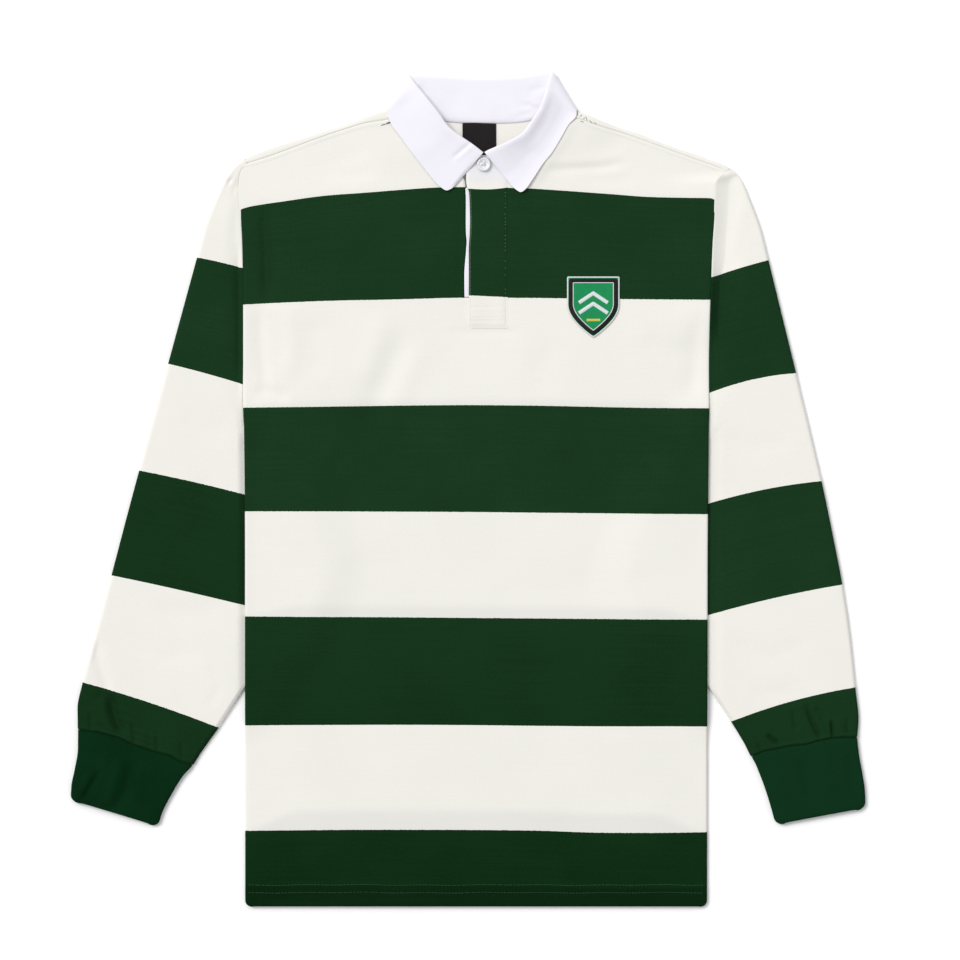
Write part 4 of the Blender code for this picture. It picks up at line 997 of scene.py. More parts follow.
def make_placket(look):
    us = spaced(0.0, (0.012, 2), (0.05, 3), (0.95, 36), (0.988, 3), (1.0, 2))
    ys = spaced(PLACKET_Y, (PLACKET_Y + 0.5, 1), (PLACKET_Y + 1.4, 2), (316.4, 128))
    y = np.repeat(ys[:, None], len(us), 1)
    left, right = placket_left(ys)[:, None], PLACKET_X[1]
    x = mix(left, right, us[None, :])
    z = placket_z(x, y)
    d_left, d_right, d_foot = x - left, right - x, y - PLACKET_Y
    in_from_right, in_from_foot = smooth((d_right - 2.0) / 2.0), smooth((d_foot - 2.0) / 2.0)
    z = z - 0.55 * np.exp(-((d_left / 0.8) ** 2))
    z = z - 0.30 * np.exp(-(((d_left - 1.1) / 0.7) ** 2)) - 0.12 * np.exp(-(((d_right - 2.6) / 0.8) ** 2)) * in_from_foot
    for at, wide, depth in ((163.6, 0.8, 0.1), (160.6, 0.8, 0.08), (173.6, 0.8, 0.1), (170.2, 1.5, -0.2), (156.6, 2.0, -0.3)):
        z = z - depth * np.exp(-(((y - at) / wide) ** 2)) * in_from_right
    z = z + 0.25 * np.sin(y / 9.0 + 0.6) * np.exp(-((d_left / 9.0) ** 2)) * smooth((y - 176) / 10)
    z = z - 0.4 * np.exp(-(((y - place(0, 248)[1]) / 7.0) ** 2)) * np.exp(-((d_right / 3.2) ** 2)) * in_from_right
    z = z + (0.2 * mottle(x, y, 17.0, 61) + 0.15 * mottle(x * 2, y, 40.0, 62)) * in_from_right * in_from_foot
    h = placket_hoops(x, y)
    lined = 0.9 * smooth((y - 286.0) / 13.0)
    uvs = {"cloth": np.stack([x * MM, h * HOOP * MM], -1), "hoop": np.stack([h, -lined], -1)}
    return cloth("placket_top_cloth", np.stack([x, y, z], -1), uvs, STRIP, look)


def make_under_strip(look):
    us = spaced(0.0, (0.3, 14), (1.0, 10))
    ys = spaced(SLOT_Y - 0.2, (312.0, 76))
    u, y = np.meshgrid(us, ys)
    left = np.where(y < 285.0, SLOT_X[0] - 0.25 + slit_bow(y), mix(SLOT_X[0] - 0.25 + slit_bow(285.0), -0.9, smooth((y - 285.0) / 1.6)))
    x = mix(left, SLOT_X[1] + 0.2, u)
    z = front_z(x, y) + 0.12 * mottle(x, y, 12.0, 63)
    return cloth("placket_under_cloth", np.stack([x, y, z], -1), {"cloth": np.stack([x * MM, y * MM], -1)}, STRIP, look)


def make_label(look):
    xs, ys = spaced(LABEL_X[0], (LABEL_X[0] + 1, 3), (LABEL_X[1] - 1, 22), (LABEL_X[1], 3)), spaced(LABEL_Y[0], (LABEL_Y[1], 32))
    x, y = np.meshgrid(xs, ys)
    u = (x - LABEL_X[0]) / (LABEL_X[1] - LABEL_X[0])
    z = back_z(x, y) + JERSEY / 2 + LIE + LABEL / 2 + 0.45 * np.sin(u * math.pi) * smooth((346.0 - y) / 20.0) + 0.15 * mottle(x, y, 9.0, 71)
    z = z + back_relief(x, y)
    z = z - 0.35 * np.exp(-((np.minimum(x - LABEL_X[0], LABEL_X[1] - x) / 0.6) ** 2))
    # the sewn end turns up with the seam
    y = y + 0.5 * np.sin(u * math.pi * 1.1 + 0.4) * smooth((y - 340.0) / 6.0)
    return cloth("neck_label_cloth", np.stack([x, y, z], -1), {"cloth": np.stack([x * MM, y * MM], -1)}, LABEL, look)


def badge_half(t):
    return BADGE_W / 2 * np.sin(np.minimum(t / 0.55, 1.0) * math.pi / 2) ** 0.9


def badge_outline(grow=0.0, n=60):
    """The shield's outline, counterclockwise from its foot, in mm about its middle."""
    t = 1.0 - (1.0 - np.linspace(0.0, 1.0, n)) ** 1.0
    t = t**1.25
    right = np.stack([badge_half(t), BADGE_L * (t - 0.5)], -1)
    k = np.linspace(0, 1, 24)[1:-1]
    # the top edge runs straight between its two corners
    top = np.stack([mix(BADGE_W / 2, -BADGE_W / 2, k), BADGE_L / 2 - 2.6 * np.sin(k * math.pi) ** 1.0 * 0.0 - 0.0 * k], -1)
    left = right[::-1] * np.array([-1.0, 1.0])
    pts = np.vstack([right, top, left[:-1]])
    if grow:
        ahead, behind = np.roll(pts, -1, 0), np.roll(pts, 1, 0)
        d = ahead - behind
        normal = np.stack([d[:, 1], -d[:, 0]], -1) / np.maximum(np.hypot(d[:, 0], d[:, 1]), 1e-6)[:, None]
        pts = pts + normal * grow
    return pts


def badge_inset(d):
    """A line that runs d inside the shield's outline all round."""
    outline = badge_outline(0.0, 160)
    ys = np.linspace(-BADGE_L / 2, BADGE_L / 2 - d, 240)
    middle = to_line(np.zeros_like(ys), ys, outline, True)[0]
    ys = ys[middle >= d]
    low, high = np.zeros_like(ys), np.full_like(ys, BADGE_W / 2)
    for _ in range(26):
        w = (low + high) / 2
        within = np.array(outside(w, ys, [tuple(p) for p in outline])) == 0.0
        fits = within & (to_line(w, ys, outline, True)[0] >= d)
        low, high = np.where(fits, w, low), np.where(fits, high, w)
    right = np.stack([low, ys], -1)
    left = right[::-1] * np.array([-1.0, 1.0])
    return np.vstack([right, left[:-1]])


def surface_top(x, y):
    return front_z(x, y) + front_relief(x, y) + JERSEY / 2


def badge_z(x, y):
    return surface_top(x, y) + LIE


def make_badge(ground, band, edge, motif, gold):
    cx, cy = BADGE_XY
    made = []
    # ground cloth
    t = np.concatenate([[0.004, 0.015], np.linspace(0.03, 1.0, 52)])
    s = np.linspace(-1, 1, 45)
    y = np.repeat((BADGE_L * (t - 0.5))[:, None], len(s), 1)
    x = s[None, :] * badge_half(t)[:, None]
    z = badge_z(x + cx, y + cy) + BADGE / 2
    made.append(cloth("patch_ground", np.stack([x + cx, y + cy, z], -1), {"cloth": np.stack([x * MM, y * MM], -1)}, BADGE, ground))

    def ribbon(name, path, width, height, look, lift_by, closed, profile=7, pitch=0.42):
        """A band of satin stitches along a path: a low arch across, ridged by its threads."""
        path = np.asarray(path, float)
        if closed:
            path = np.vstack([path, path[:1]])
        seg = np.hypot(*np.diff(path, axis=0).T)
        run = np.concatenate([[0.0], np.cumsum(seg)])
        count = max(int(run[-1] / 0.7), 4)
        at = np.linspace(0, run[-1], count + 1)
        px, py = np.interp(at, run, path[:, 0]), np.interp(at, run, path[:, 1])
        if closed:
            px, py = px[:-1], py[:-1]
            dx, dy = np.roll(px, -1) - np.roll(px, 1), np.roll(py, -1) - np.roll(py, 1)
        else:
            dx, dy = np.gradient(px), np.gradient(py)
        ln = np.maximum(np.hypot(dx, dy), 1e-6)
        nx, ny = -dy / ln, dx / ln
        w = np.linspace(-0.5, 0.5, profile)
        gx = px[:, None] + nx[:, None] * w[None, :] * width + cx
        gy = py[:, None] + ny[:, None] * w[None, :] * width + cy
        bow = np.sqrt(np.maximum(1.0 - (2 * w) ** 2, 0.0))[None, :] * height
        if not closed:
            ends = smooth(np.minimum(at, at[-1] - at) / 0.6)[:, None]
            bow = bow * (0.25 + 0.75 * ends)
        gz = badge_z(gx, gy) + lift_by + bow
        rows = len(px)
        top = np.stack([gx, gy, gz], -1)
        low = np.stack([gx[:, [0, -1]], gy[:, [0, -1]], gz[:, [0, -1]] - 0.5], -1)
        ring = np.concatenate([low[:, :1], top, low[:, 1:]], 1)
        cols = ring.shape[1]
        verts = ring.reshape(-1, 3) * MM
        faces = []
        for i in range(rows if closed else rows - 1):
            j = (i + 1) % rows
            for k in range(cols):
                m = (k + 1) % cols
                faces.append((i * cols + k, i * cols + m, j * cols + m, j * cols + k))
        if not closed:
            faces.append(tuple(range(cols)))
            faces.append(tuple((rows - 1) * cols + k for k in range(cols - 1, -1, -1)))
        u = np.repeat(at[:rows][:, None], cols, 1)
        v = np.repeat(np.concatenate([[-0.5], w, [0.5]])[None, :] * width, rows, 0)
        uv = {"cloth": np.stack([u.ravel() * MM, v.ravel() * MM], -1)}
        made.append(mesh_object(name, verts, faces, look, uv))

    ribbon("patch_edge", badge_outline(0.1), 1.7, 0.75, edge, 0.55, True)
    ribbon("patch_border", badge_inset(2.7), 3.9, 0.45, band, BADGE + 0.02, True)
    ribbon("patch_inline", badge_inset(5.0), 0.9, 0.5, edge, BADGE + 0.03, True, 5)
    for k, (top_y, w) in enumerate(((13.0, 13.6), (3.2, 13.6))):
        ribbon(f"patch_chevron_{k}", [(-w, top_y - 9.0), (0.0, top_y), (w, top_y - 9.0)], 3.6, 0.5, motif, BADGE + 0.02, False, 7)
    ribbon("patch_bar", [(-6.5, -12.4), (6.5, -12.4)], 2.4, 0.45, gold, BADGE + 0.02, False, 5)
    return made


def make_button(look, thread):
    cx, cy = BUTTON_XY
    base = float(placket_z(np.array([cx]), np.array([cy]))[0]) + STRIP / 2 + 0.3
    r, h = BUTTON_D / 2, BUTTON_H
    profile = [(0.0, 0.56), (0.3, 0.56), (0.5, 0.58), (0.58, 0.66), (0.66, 0.86), (0.74, 0.97), (0.82, 1.0), (0.9, 0.96), (0.96, 0.84), (0.99, 0.66), (1.0, 0.48), (0.985, 0.28), (0.94, 0.1), (0.86, 0.02), (0.7, 0.0), (0.0, 0.0)]
    fine = [profile[0]]
    for a, b in zip(profile[:-1], profile[1:]):
        n = max(int(abs(b[0] - a[0]) * 26), 1)
        fine += [(mix(a[0], b[0], k / n), mix(a[1], b[1], k / n)) for k in range(1, n + 1)]
    turns = 72
    verts, faces, rings = [], [], []
    holes = [(1.55, 1.55), (-1.55, 1.55), (-1.55, -1.55), (1.55, -1.55)]
    for pr, ph in fine:
        if pr == 0.0:
            rings.append([len(verts)])
            verts.append((cx, cy, base + ph * h))
            continue
        ring = []
        for k in range(turns):
            a = 2 * math.pi * k / turns
            x, y = pr * r * math.cos(a), pr * r * math.sin(a)
            z = ph * h
            if ph > 0.3:
                for hx, hy in holes:
                    z -= 0.8 * float(smooth((0.95 - math.hypot(x - hx, y - hy)) / 0.5))
            ring.append(len(verts))
            verts.append((cx + x, cy + y, base + z))
        rings.append(ring)
    for a, b in zip(rings[:-1], rings[1:]):
        if len(a) == 1:
            faces += [(a[0], b[k], b[(k + 1) % turns]) for k in range(turns)]
        elif len(b) == 1:
            faces += [(a[k], b[0], a[(k + 1) % turns]) for k in range(turns)]
        else:
            faces += [(a[k], b[k], b[(k + 1) % turns], a[(k + 1) % turns]) for k in range(turns)]
    made = mesh_object("button_pearl", np.array(verts) * MM, faces, look)
    runs = []
    for (ax, ay), (bx, by) in ((holes[0], holes[2]), (holes[1], holes[3])):
        for off in (-0.28, 0.28):
            runs.append(((ax + off, ay - off * (1 if ax * ay > 0 else -1)), (bx + off, by - off * (1 if ax * ay > 0 else -1))))
    threads = tube_bundle("button_thread", [
        [(cx + mix(a[0], b[0], t), cy + mix(a[1], b[1], t), base + h * 0.62 + 0.42 * math.sin(math.pi * t) - 0.75 * (1 - math.sin(math.pi * t)) ** 3 + 0.12 * (k > 1)) for t in np.linspace(0, 1, 9)]
        for k, (a, b) in enumerate(runs)
    ], 0.24, thread)
    return made, threads


def tube_bundle(name, paths, radius, look, sides=7):
    verts, faces = [], []
    for path in paths:
        path = np.asarray(path, float)
        tangent = np.gradient(path, axis=0)
        tangent /= np.linalg.norm(tangent, axis=1)[:, None]
        ring_start = len(verts)
        for p, tg in zip(path, tangent):
            side = np.cross(tg, (0, 0, 1.0))
            side = side / max(np.linalg.norm(side), 1e-6)
            up = np.cross(side, tg)
            for k in range(sides):
                a = 2 * math.pi * k / sides
                verts.append(p + radius * (math.cos(a) * side + math.sin(a) * up))
        for i in range(len(path) - 1):
            for k in range(sides):
                a, b = ring_start + i * sides + k, ring_start + i * sides + (k + 1) % sides
                faces.append((a, b, b + sides, a + sides))
        faces.append(tuple(ring_start + k for k in range(sides - 1, -1, -1)))
        last = ring_start + (len(path) - 1) * sides
        faces.append(tuple(last + k for k in range(sides)))
    return mesh_object(name, np.array(verts) * MM, faces, look)


# ------------------------------------------------------------------ stitches
def stitch_run(path, pitch, length, height, jitter=0.12, seed=1, skip=0.0):
    """Centres and directions of stitches along a path, in mm. height(x, y) is what they lie on."""
    path = np.asarray(path, float)
    seg = np.hypot(*np.diff(path, axis=0).T)
    run = np.concatenate([[0.0], np.cumsum(seg)])
    rng = np.random.default_rng(seed)
    at = np.arange(pitch / 2, run[-1], pitch)
    at = at + rng.uniform(-jitter, jitter, len(at)) * pitch
    keep = rng.random(len(at)) >= skip
    at = at[keep]
    ends = []
    for off in (-0.5, 0.5):
        q = np.clip(at + off * length, 0, run[-1])
        ends.append(np.stack([np.interp(q, run, path[:, 0]), np.interp(q, run, path[:, 1])], -1))
    a, b = ends
    za, zb = height(a[:, 0], a[:, 1]), height(b[:, 0], b[:, 1])
    return np.concatenate([a, za[:, None]], 1), np.concatenate([b, zb[:, None]], 1)


def stitches(name, runs, radius, look, sink=0.35, below=False):
    """Every run's stitches as one mesh: short rounded threads that dip into the cloth at both ends."""
    a = np.concatenate([r[0] for r in runs])
    b = np.concatenate([r[1] for r in runs])
    n, sides, stations = len(a), 6, np.array([0.0, 0.18, 0.5, 0.82, 1.0])
    fat = np.array([0.25, 0.85, 1.0, 0.85, 0.25])
    high = np.array([-sink * 2.0, 0.35, 0.75, 0.35, -sink * 2.0])
    d = b - a
    flat = d.copy()
    flat[:, 2] = 0
    ln = np.maximum(np.linalg.norm(flat, axis=1), 1e-6)[:, None]
    side = np.stack([-flat[:, 1], flat[:, 0], np.zeros(n)], -1) / ln
    up = np.array([0, 0, -1.0 if below else 1.0])
    verts = np.zeros((n, len(stations), sides, 3))
    for i, (t, f, hgt) in enumerate(zip(stations, fat, high)):
        mid = a + d * t + up * (radius * hgt)
        for k in range(sides):
            ang = 2 * math.pi * k / sides
            verts[:, i, k] = mid + radius * f * (math.cos(ang) * side + math.sin(ang) * up)
    faces = []
    per = len(stations) * sides
    ring = []
    for i in range(len(stations) - 1):
        for k in range(sides):
            m = (k + 1) % sides
            ring.append((i * sides + k, i * sides + m, (i + 1) * sides + m, (i + 1) * sides + k))
    caps = [tuple(range(sides - 1, -1, -1)), tuple((len(stations) - 1) * sides + k for k in range(sides))]
    for j in range(n):
        base = j * per
        faces += [tuple(base + q for q in f) for f in ring + caps]
    return mesh_object(name, verts.reshape(-1, 3) * MM, faces, look)


# ------------------------------------------------------------------ materials
def lin(r, g, b, by=1.0):
    out = []
    for c in (r, g, b):
        c = c / 255.0
        out.append((c / 12.92 if c <= 0.04045 else ((c + 0.055) / 1.055) ** 2.4) * by)
    return (*out, 1.0)


class Look:
    """A Principled material and short names for the nodes that feed it."""

    def __init__(self, name, roughness=0.9, sheen=0.0, sheen_tint=(1, 1, 1, 1), specular=0.12):
        self.made = bpy.data.materials.new(name)
        self.made.use_nodes = True
        self.tree = self.made.node_tree
        self.tree.nodes.clear()
        self.out = self.tree.nodes.new("ShaderNodeOutputMaterial")
        self.shader = self.tree.nodes.new("ShaderNodeBsdfPrincipled")
        self.tree.links.new(self.shader.outputs[0], self.out.inputs[0])
        self.shader.inputs["Roughness"].default_value = roughness
        self.shader.inputs["Specular IOR Level"].default_value = specular
        self.shader.inputs["Sheen Weight"].default_value = sheen
        self.shader.inputs["Sheen Roughness"].default_value = 0.5
        self.shader.inputs["Sheen Tint"].default_value = sheen_tint

    def put(self, socket, value):
        if isinstance(value, bpy.types.NodeSocket):
            self.tree.links.new(value, socket)
        else:
            socket.default_value = value

    def math(self, operation, a, b=0.0, c=0.0):
        node = self.tree.nodes.new("ShaderNodeMath")
        node.operation = operation
        for socket, value in zip(node.inputs, (a, b, c)):
            self.put(socket, value)
        return node.outputs[0]

    def uv(self, name):
        node = self.tree.nodes.new("ShaderNodeUVMap")
        node.uv_map = name
        apart = self.tree.nodes.new("ShaderNodeSeparateXYZ")
        self.tree.links.new(node.outputs[0], apart.inputs[0])
        return node.outputs[0], apart.outputs[0], apart.outputs[1]

    def join(self, x, y, z=0.0):
        node = self.tree.nodes.new("ShaderNodeCombineXYZ")
        for socket, value in zip(node.inputs, (x, y, z)):
            self.put(socket, value)
        return node.outputs[0]

    def noise(self, vector, scale, detail=2.0, rough=0.5):
        node = self.tree.nodes.new("ShaderNodeTexNoise")
        self.put(node.inputs["Vector"], vector)
        node.inputs["Scale"].default_value = scale
        node.inputs["Detail"].default_value = detail
        node.inputs["Roughness"].default_value = rough
        return node.outputs[0]

    def blend(self, share, a, b, kind="MIX"):
        node = self.tree.nodes.new("ShaderNodeMix")
        node.data_type = "RGBA"
        node.blend_type = kind
        node.clamp_factor = True
        self.put(node.inputs["Factor"], share)
        self.put(node.inputs[6], a)
        self.put(node.inputs[7], b)
        return node.outputs[2]

    def shade(self, colour, value):
        """colour times a number that lies near 1."""
        node = self.tree.nodes.new("ShaderNodeVectorMath")
        node.operation = "SCALE"
        self.put(node.inputs[0], colour if isinstance(colour, bpy.types.NodeSocket) else colour[:3])
        self.put(node.inputs["Scale"], value)
        return node.outputs[0]

    def span(self, value, low, high, to_low, to_high):
        node = self.tree.nodes.new("ShaderNodeMapRange")
        for socket, v in zip(node.inputs, (value, low, high, to_low, to_high)):
            self.put(socket, v)
        return node.outputs[0]

    def bump(self, height, strength, distance, over=None):
        node = self.tree.nodes.new("ShaderNodeBump")
        node.inputs["Strength"].default_value = strength
        node.inputs["Distance"].default_value = distance
        self.put(node.inputs["Height"], height)
        if over is not None:
            self.put(node.inputs["Normal"], over)
        return node.outputs[0]

    def finish(self, colour, normal=None, roughness=None):
        self.put(self.shader.inputs["Base Color"], colour)
        if normal is not None:
            self.put(self.shader.inputs["Normal"], normal)
        if roughness is not None:
            self.put(self.shader.inputs["Roughness"], roughness)
        return self.made


LIGHT = 1.12  # how bright the light makes a white surface, which the colours below allow for
GREEN = lin(27, 57, 32.5, 1 / LIGHT)
# the darker green on the next line is painted shade, for the light falling off towards the bottom
GREEN_FALLOFF_SHADE = lin(17, 46, 22, 1 / LIGHT)
# the darkest green on the next line is painted shade along the hem
GREEN_HEM_SHADE = lin(14, 40, 19, 1 / LIGHT)
CREAM = lin(243, 241, 234, 1 / LIGHT)
CREAM_THROUGH = lin(232, 231, 226, 1 / LIGHT)
CREAM_LINED = lin(240, 239, 243, 1 / LIGHT)
WHITE = lin(245, 243, 251, 1 / LIGHT)
CUFF = lin(13, 47, 25, 1 / LIGHT)
CUFF_DEEP = lin(12, 43, 22.5, 1 / LIGHT)
CUFF_PALE = lin(19, 53, 31, 1 / LIGHT)


def knit(look, u, v, wale=1.35, course=1.05):
    """Height of a plain knit: columns of V-shaped loops."""
    a = look.math("DIVIDE", u, wale * MM)
    b = look.math("DIVIDE", v, course * MM)
    off = look.math("ABSOLUTE", look.math("SUBTRACT", look.math("FRACT", a), 0.5))
    rib = look.math("SUBTRACT", 1.0, look.math("POWER", look.math("MULTIPLY", off, 2.0), 3.0))
    phase = look.math("MULTIPLY", look.math("ADD", b, off), 2 * math.pi)
    loops = look.math("MULTIPLY_ADD", look.math("COSINE", phase), 0.5, 0.5)
    return look.math("MULTIPLY_ADD", loops, 0.45, look.math("MULTIPLY", rib, 0.55))


def jersey(name):
    look = Look(name, 0.95, 0.0, (0.9, 1.0, 0.92, 1), 0.0)
    cloth_uv, u, v = look.uv("cloth")
    _, h, behind = look.uv("hoop")
    ragged = look.math("MULTIPLY", look.math("SUBTRACT", look.noise(cloth_uv, 900.0, 0.0), 0.5), 0.006)
    share = look.math("FRACT", look.math("MULTIPLY", look.math("ADD", h, ragged), 0.5))
    is_green = look.math("LESS_THAN", share, 0.5)
    # even dye with faint clouds, lines along the courses, and paler lint
    clouds = look.noise(cloth_uv, 14.0, 3.0)
    fine = look.noise(cloth_uv, 420.0, 2.0)
    streaks = look.noise(look.join(look.math("MULTIPLY", u, 9.0), look.math("MULTIPLY", v, 620.0)), 1.0, 2.0)
    # painted shade: the green darkens from the upper hoops down towards the hem
    falloff_shade = look.span(h, 0.6, 4.0, 1.0, 0.0)
    # painted shade: the green gets darker towards the bottom, where the light falls off; on the right sleeve's hoops (6
    # to 11) it darkens sooner towards the cuff than on the left's (16 to 21)
    falloff_shade = look.math("ADD", falloff_shade, look.span(h, 7.2, 8.4, 0.0, 0.5))
    falloff_shade = look.math("SUBTRACT", falloff_shade, look.span(h, 12.0, 14.0, 0.0, 0.5))
    falloff_shade = look.math("ADD", falloff_shade, look.span(h, 19.0, 20.4, 0.0, 0.35))
    green = look.blend(falloff_shade, GREEN, GREEN_FALLOFF_SHADE)
    # painted shade: below the hem's stitching the green is darker still
    green = look.blend(look.span(h, 0.47, 0.5, 1.0, 0.0), green, GREEN_HEM_SHADE)
    tone = look.math("ADD", look.span(clouds, 0.3, 0.7, 0.93, 1.07), look.span(streaks, 0.3, 0.7, -0.055, 0.055))
    tone = look.math("ADD", tone, look.span(fine, 0.3, 0.7, -0.06, 0.06))
    green = look.shade(green, tone)
    lint = look.math("GREATER_THAN", look.noise(cloth_uv, 700.0, 0.0), 0.79)
    green = look.blend(look.math("MULTIPLY", lint, 0.04), green, (0.16, 0.22, 0.16, 1))
    cream = look.blend(look.math("MULTIPLY", behind, 0.85), CREAM, CREAM_THROUGH)
    cream = look.blend(look.math("MULTIPLY", behind, -1.0), cream, CREAM_LINED)
    pale = look.math("ADD", look.span(clouds, 0.3, 0.7, 0.988, 1.008), look.span(streaks, 0.3, 0.7, -0.006, 0.006))
    pale = look.math("ADD", pale, look.span(fine, 0.3, 0.7, -0.01, 0.008))
    cream = look.shade(cream, pale)
    loops = knit(look, u, v)
    colour = look.blend(is_green, cream, green)
    # painted shade: the knit is coloured darker where its loops lie low, besides the bump
    colour = look.shade(colour, look.span(loops, 0.0, 1.0, 0.955, 1.02))
    bumps = look.bump(loops, 0.22, 0.00035)
    bumps = look.bump(fine, 0.10, 0.0004, bumps)
    return look.finish(colour, bumps)


def ribbed(name):
    look = Look(name, 0.95, 0.0, (0.8, 1.0, 0.95, 1), 0.0)
    cloth_uv, u, v = look.uv("cloth")
    wave = look.math("COSINE", look.math("MULTIPLY", look.math("DIVIDE", u, 1.9 * MM), 2 * math.pi))
    rib = look.math("POWER", look.math("MULTIPLY_ADD", wave, 0.5, 0.5), 0.7)
    loops = look.math("COSINE", look.math("MULTIPLY", look.math("DIVIDE", v, 1.1 * MM), 2 * math.pi))
    height = look.math("MULTIPLY_ADD", loops, 0.08, rib)
    clouds, fine = look.noise(cloth_uv, 26.0, 3.0), look.noise(cloth_uv, 500.0, 2.0)
    colour = look.blend(look.span(clouds, 0.38, 0.62, 0.0, 1.0), CUFF, CUFF_DEEP)
    colour = look.blend(look.span(u, 0.7, 0.8, 0.0, 0.85), colour, CUFF_PALE)
    # painted shade: the ribs' grooves are coloured darker, besides the bump; the fine noise is uneven tone
    tone = look.math("ADD", look.span(rib, 0.0, 1.0, 0.90, 1.04), look.span(fine, 0.3, 0.7, -0.06, 0.06))
    return look.finish(look.shade(colour, tone), look.bump(height, 0.35, 0.0005))


def twill(name, colour=WHITE):
    look = Look(name, 0.86, 0.0)
    cloth_uv, u, v = look.uv("cloth")
    diagonal = look.math("ADD", look.math("DIVIDE", u, 0.9 * MM), look.math("DIVIDE", v, 0.62 * MM))
    line = look.math("MULTIPLY_ADD", look.math("COSINE", look.math("MULTIPLY", diagonal, 2 * math.pi)), 0.5, 0.5)
    clouds, fine = look.noise(cloth_uv, 30.0, 3.0), look.noise(cloth_uv, 650.0, 2.0)
    # painted shade: the twill's diagonal grooves are coloured a little darker, besides the bump
    tone = look.math("ADD", look.span(clouds, 0.3, 0.7, 0.985, 1.01), look.span(line, 0.0, 1.0, -0.012, 0.006))
    tone = look.math("ADD", tone, look.span(fine, 0.3, 0.7, -0.008, 0.008))
    bumps = look.bump(line, 0.16, 0.0002)
    return look.finish(look.shade(colour, tone), look.bump(fine, 0.12, 0.0002, bumps))


def tape(name, colour):
    look = Look(name, 0.7, 0.0, (1, 1, 1, 1), 0.15)
    cloth_uv, u, v = look.uv("cloth")
    weft = look.math("COSINE", look.math("MULTIPLY", look.math("DIVIDE", v, 0.42 * MM), 2 * math.pi))
    warp = look.math("COSINE", look.math("MULTIPLY", look.math("DIVIDE", u, 0.6 * MM), 2 * math.pi))
    weave = look.math("MULTIPLY_ADD", look.math("MULTIPLY", weft, warp), 0.25, look.math("MULTIPLY_ADD", weft, 0.25, 0.5))
    # painted shade: the weave is coloured darker where it lies low, besides the bump; the noise is uneven tone
    tone = look.math("ADD", look.span(weave, 0.0, 1.0, 0.82, 1.12), look.span(look.noise(cloth_uv, 300.0), 0.3, 0.7, -0.08, 0.08))
    return look.finish(look.shade(colour, tone), look.bump(weave, 0.3, 0.0002))


def satin(name, colour, pitch=0.42, slant=0.5):
    """Satin stitch: thin shining threads side by side across a band."""
    look = Look(name, 0.5, 0.0, (1, 1, 1, 1), 0.2)
    cloth_uv, u, v = look.uv("cloth")
    lean = look.math("MULTIPLY_ADD", v, slant, u)
    thread = look.math("ABSOLUTE", look.math("SINE", look.math("MULTIPLY", look.math("DIVIDE", lean, pitch * MM), math.pi)))
    stretch = look.noise(look.join(look.math("DIVIDE", lean, pitch * MM), look.math("MULTIPLY", v, 60.0)), 1.0, 1.0)
    # painted shade and highlight: each thread is coloured lighter along its crown and darker between threads, besides
    # the bump; the stretch noise is uneven tone
    tone = look.math("ADD", look.span(thread, 0.0, 1.0, 0.72, 1.06), look.span(stretch, 0.3, 0.7, -0.09, 0.09))
    return look.finish(look.shade(colour, tone), look.bump(thread, 0.5, 0.00025))


def stitched_ground(name, colour):
    """Embroidered ground: rows of short fill stitches."""
    look = Look(name, 0.55, 0.0, (1, 1, 1, 1), 0.2)
    cloth_uv, u, v = look.uv("cloth")
    thread = look.math("ABSOLUTE", look.math("SINE", look.math("MULTIPLY", look.math("DIVIDE", v, 0.4 * MM), math.pi)))
    row = look.math("FLOOR", look.math("DIVIDE", v, 0.4 * MM))
    run = look.math("ADD", look.math("DIVIDE", u, 3.4 * MM), look.math("MULTIPLY", row, 0.37))
    breaks = look.math("ABSOLUTE", look.math("SUBTRACT", look.math("FRACT", run), 0.5))
    dip = look.math("LESS_THAN", breaks, 0.06)
    height = look.math("MULTIPLY_ADD", dip, -0.5, thread)
    # painted shade: darker between the rows of stitches and at their breaks, besides the bump
    tone = look.math("ADD", look.span(thread, 0.0, 1.0, 0.74, 1.05), look.math("MULTIPLY", dip, -0.12))
    tone = look.math("ADD", tone, look.span(look.noise(cloth_uv, 240.0), 0.3, 0.7, -0.06, 0.06))
    return look.finish(look.shade(colour, tone), look.bump(height, 0.45, 0.00022))


def thread_look(name, colour):
    look = Look(name, 0.7, 0.0, (1, 1, 1, 1), 0.2)
    where = look.tree.nodes.new("ShaderNodeTexCoord").outputs["Object"]
    twist = look.noise(where, 2600.0, 1.0)
    return look.finish(look.shade(colour, look.span(twist, 0.3, 0.7, 0.8, 1.12)), look.bump(twist, 0.3, 0.0001))


def pearl(name):
    look = Look(name, 0.14, 0.0, (1, 1, 1, 1), 0.6)
    look.shader.inputs["Coat Weight"].default_value = 0.7
    look.shader.inputs["Coat Roughness"].default_value = 0.05
    where = look.tree.nodes.new("ShaderNodeTexCoord").outputs["Object"]
    swirl = look.noise(where, 210.0, 3.0, 0.6)
    cloudy = look.noise(where, 520.0, 2.0)
    colour = look.blend(look.span(swirl, 0.35, 0.65, 0.0, 1.0), lin(225, 229, 238, 1 / LIGHT), lin(247, 247, 248, 1 / LIGHT))
    colour = look.shade(colour, look.span(cloudy, 0.3, 0.7, 0.94, 1.03))
    return look.finish(colour, look.bump(swirl, 0.06, 0.0004), look.span(cloudy, 0.3, 0.7, 0.1, 0.2))


# ------------------------------------------------------------------ build
jersey_look, rib_look, twill_look = jersey("hooped_jersey"), ribbed("rib_knit"), twill("white_twill")
label_look = tape("black_tape", lin(27, 24, 25, 1 / LIGHT))
green_thread = thread_look("green_thread", lin(58, 92, 64, 1 / LIGHT))
grey_thread = thread_look("pale_thread", lin(128, 146, 130, 1 / LIGHT))
white_thread = thread_look("white_thread", lin(240, 238, 232, 1 / LIGHT))
# dark thread, partly used as painted shade under the collar's edges at the shoulders
dark_thread_and_shade = thread_look("dark_thread_and_shade", lin(70, 78, 72, 1 / LIGHT))

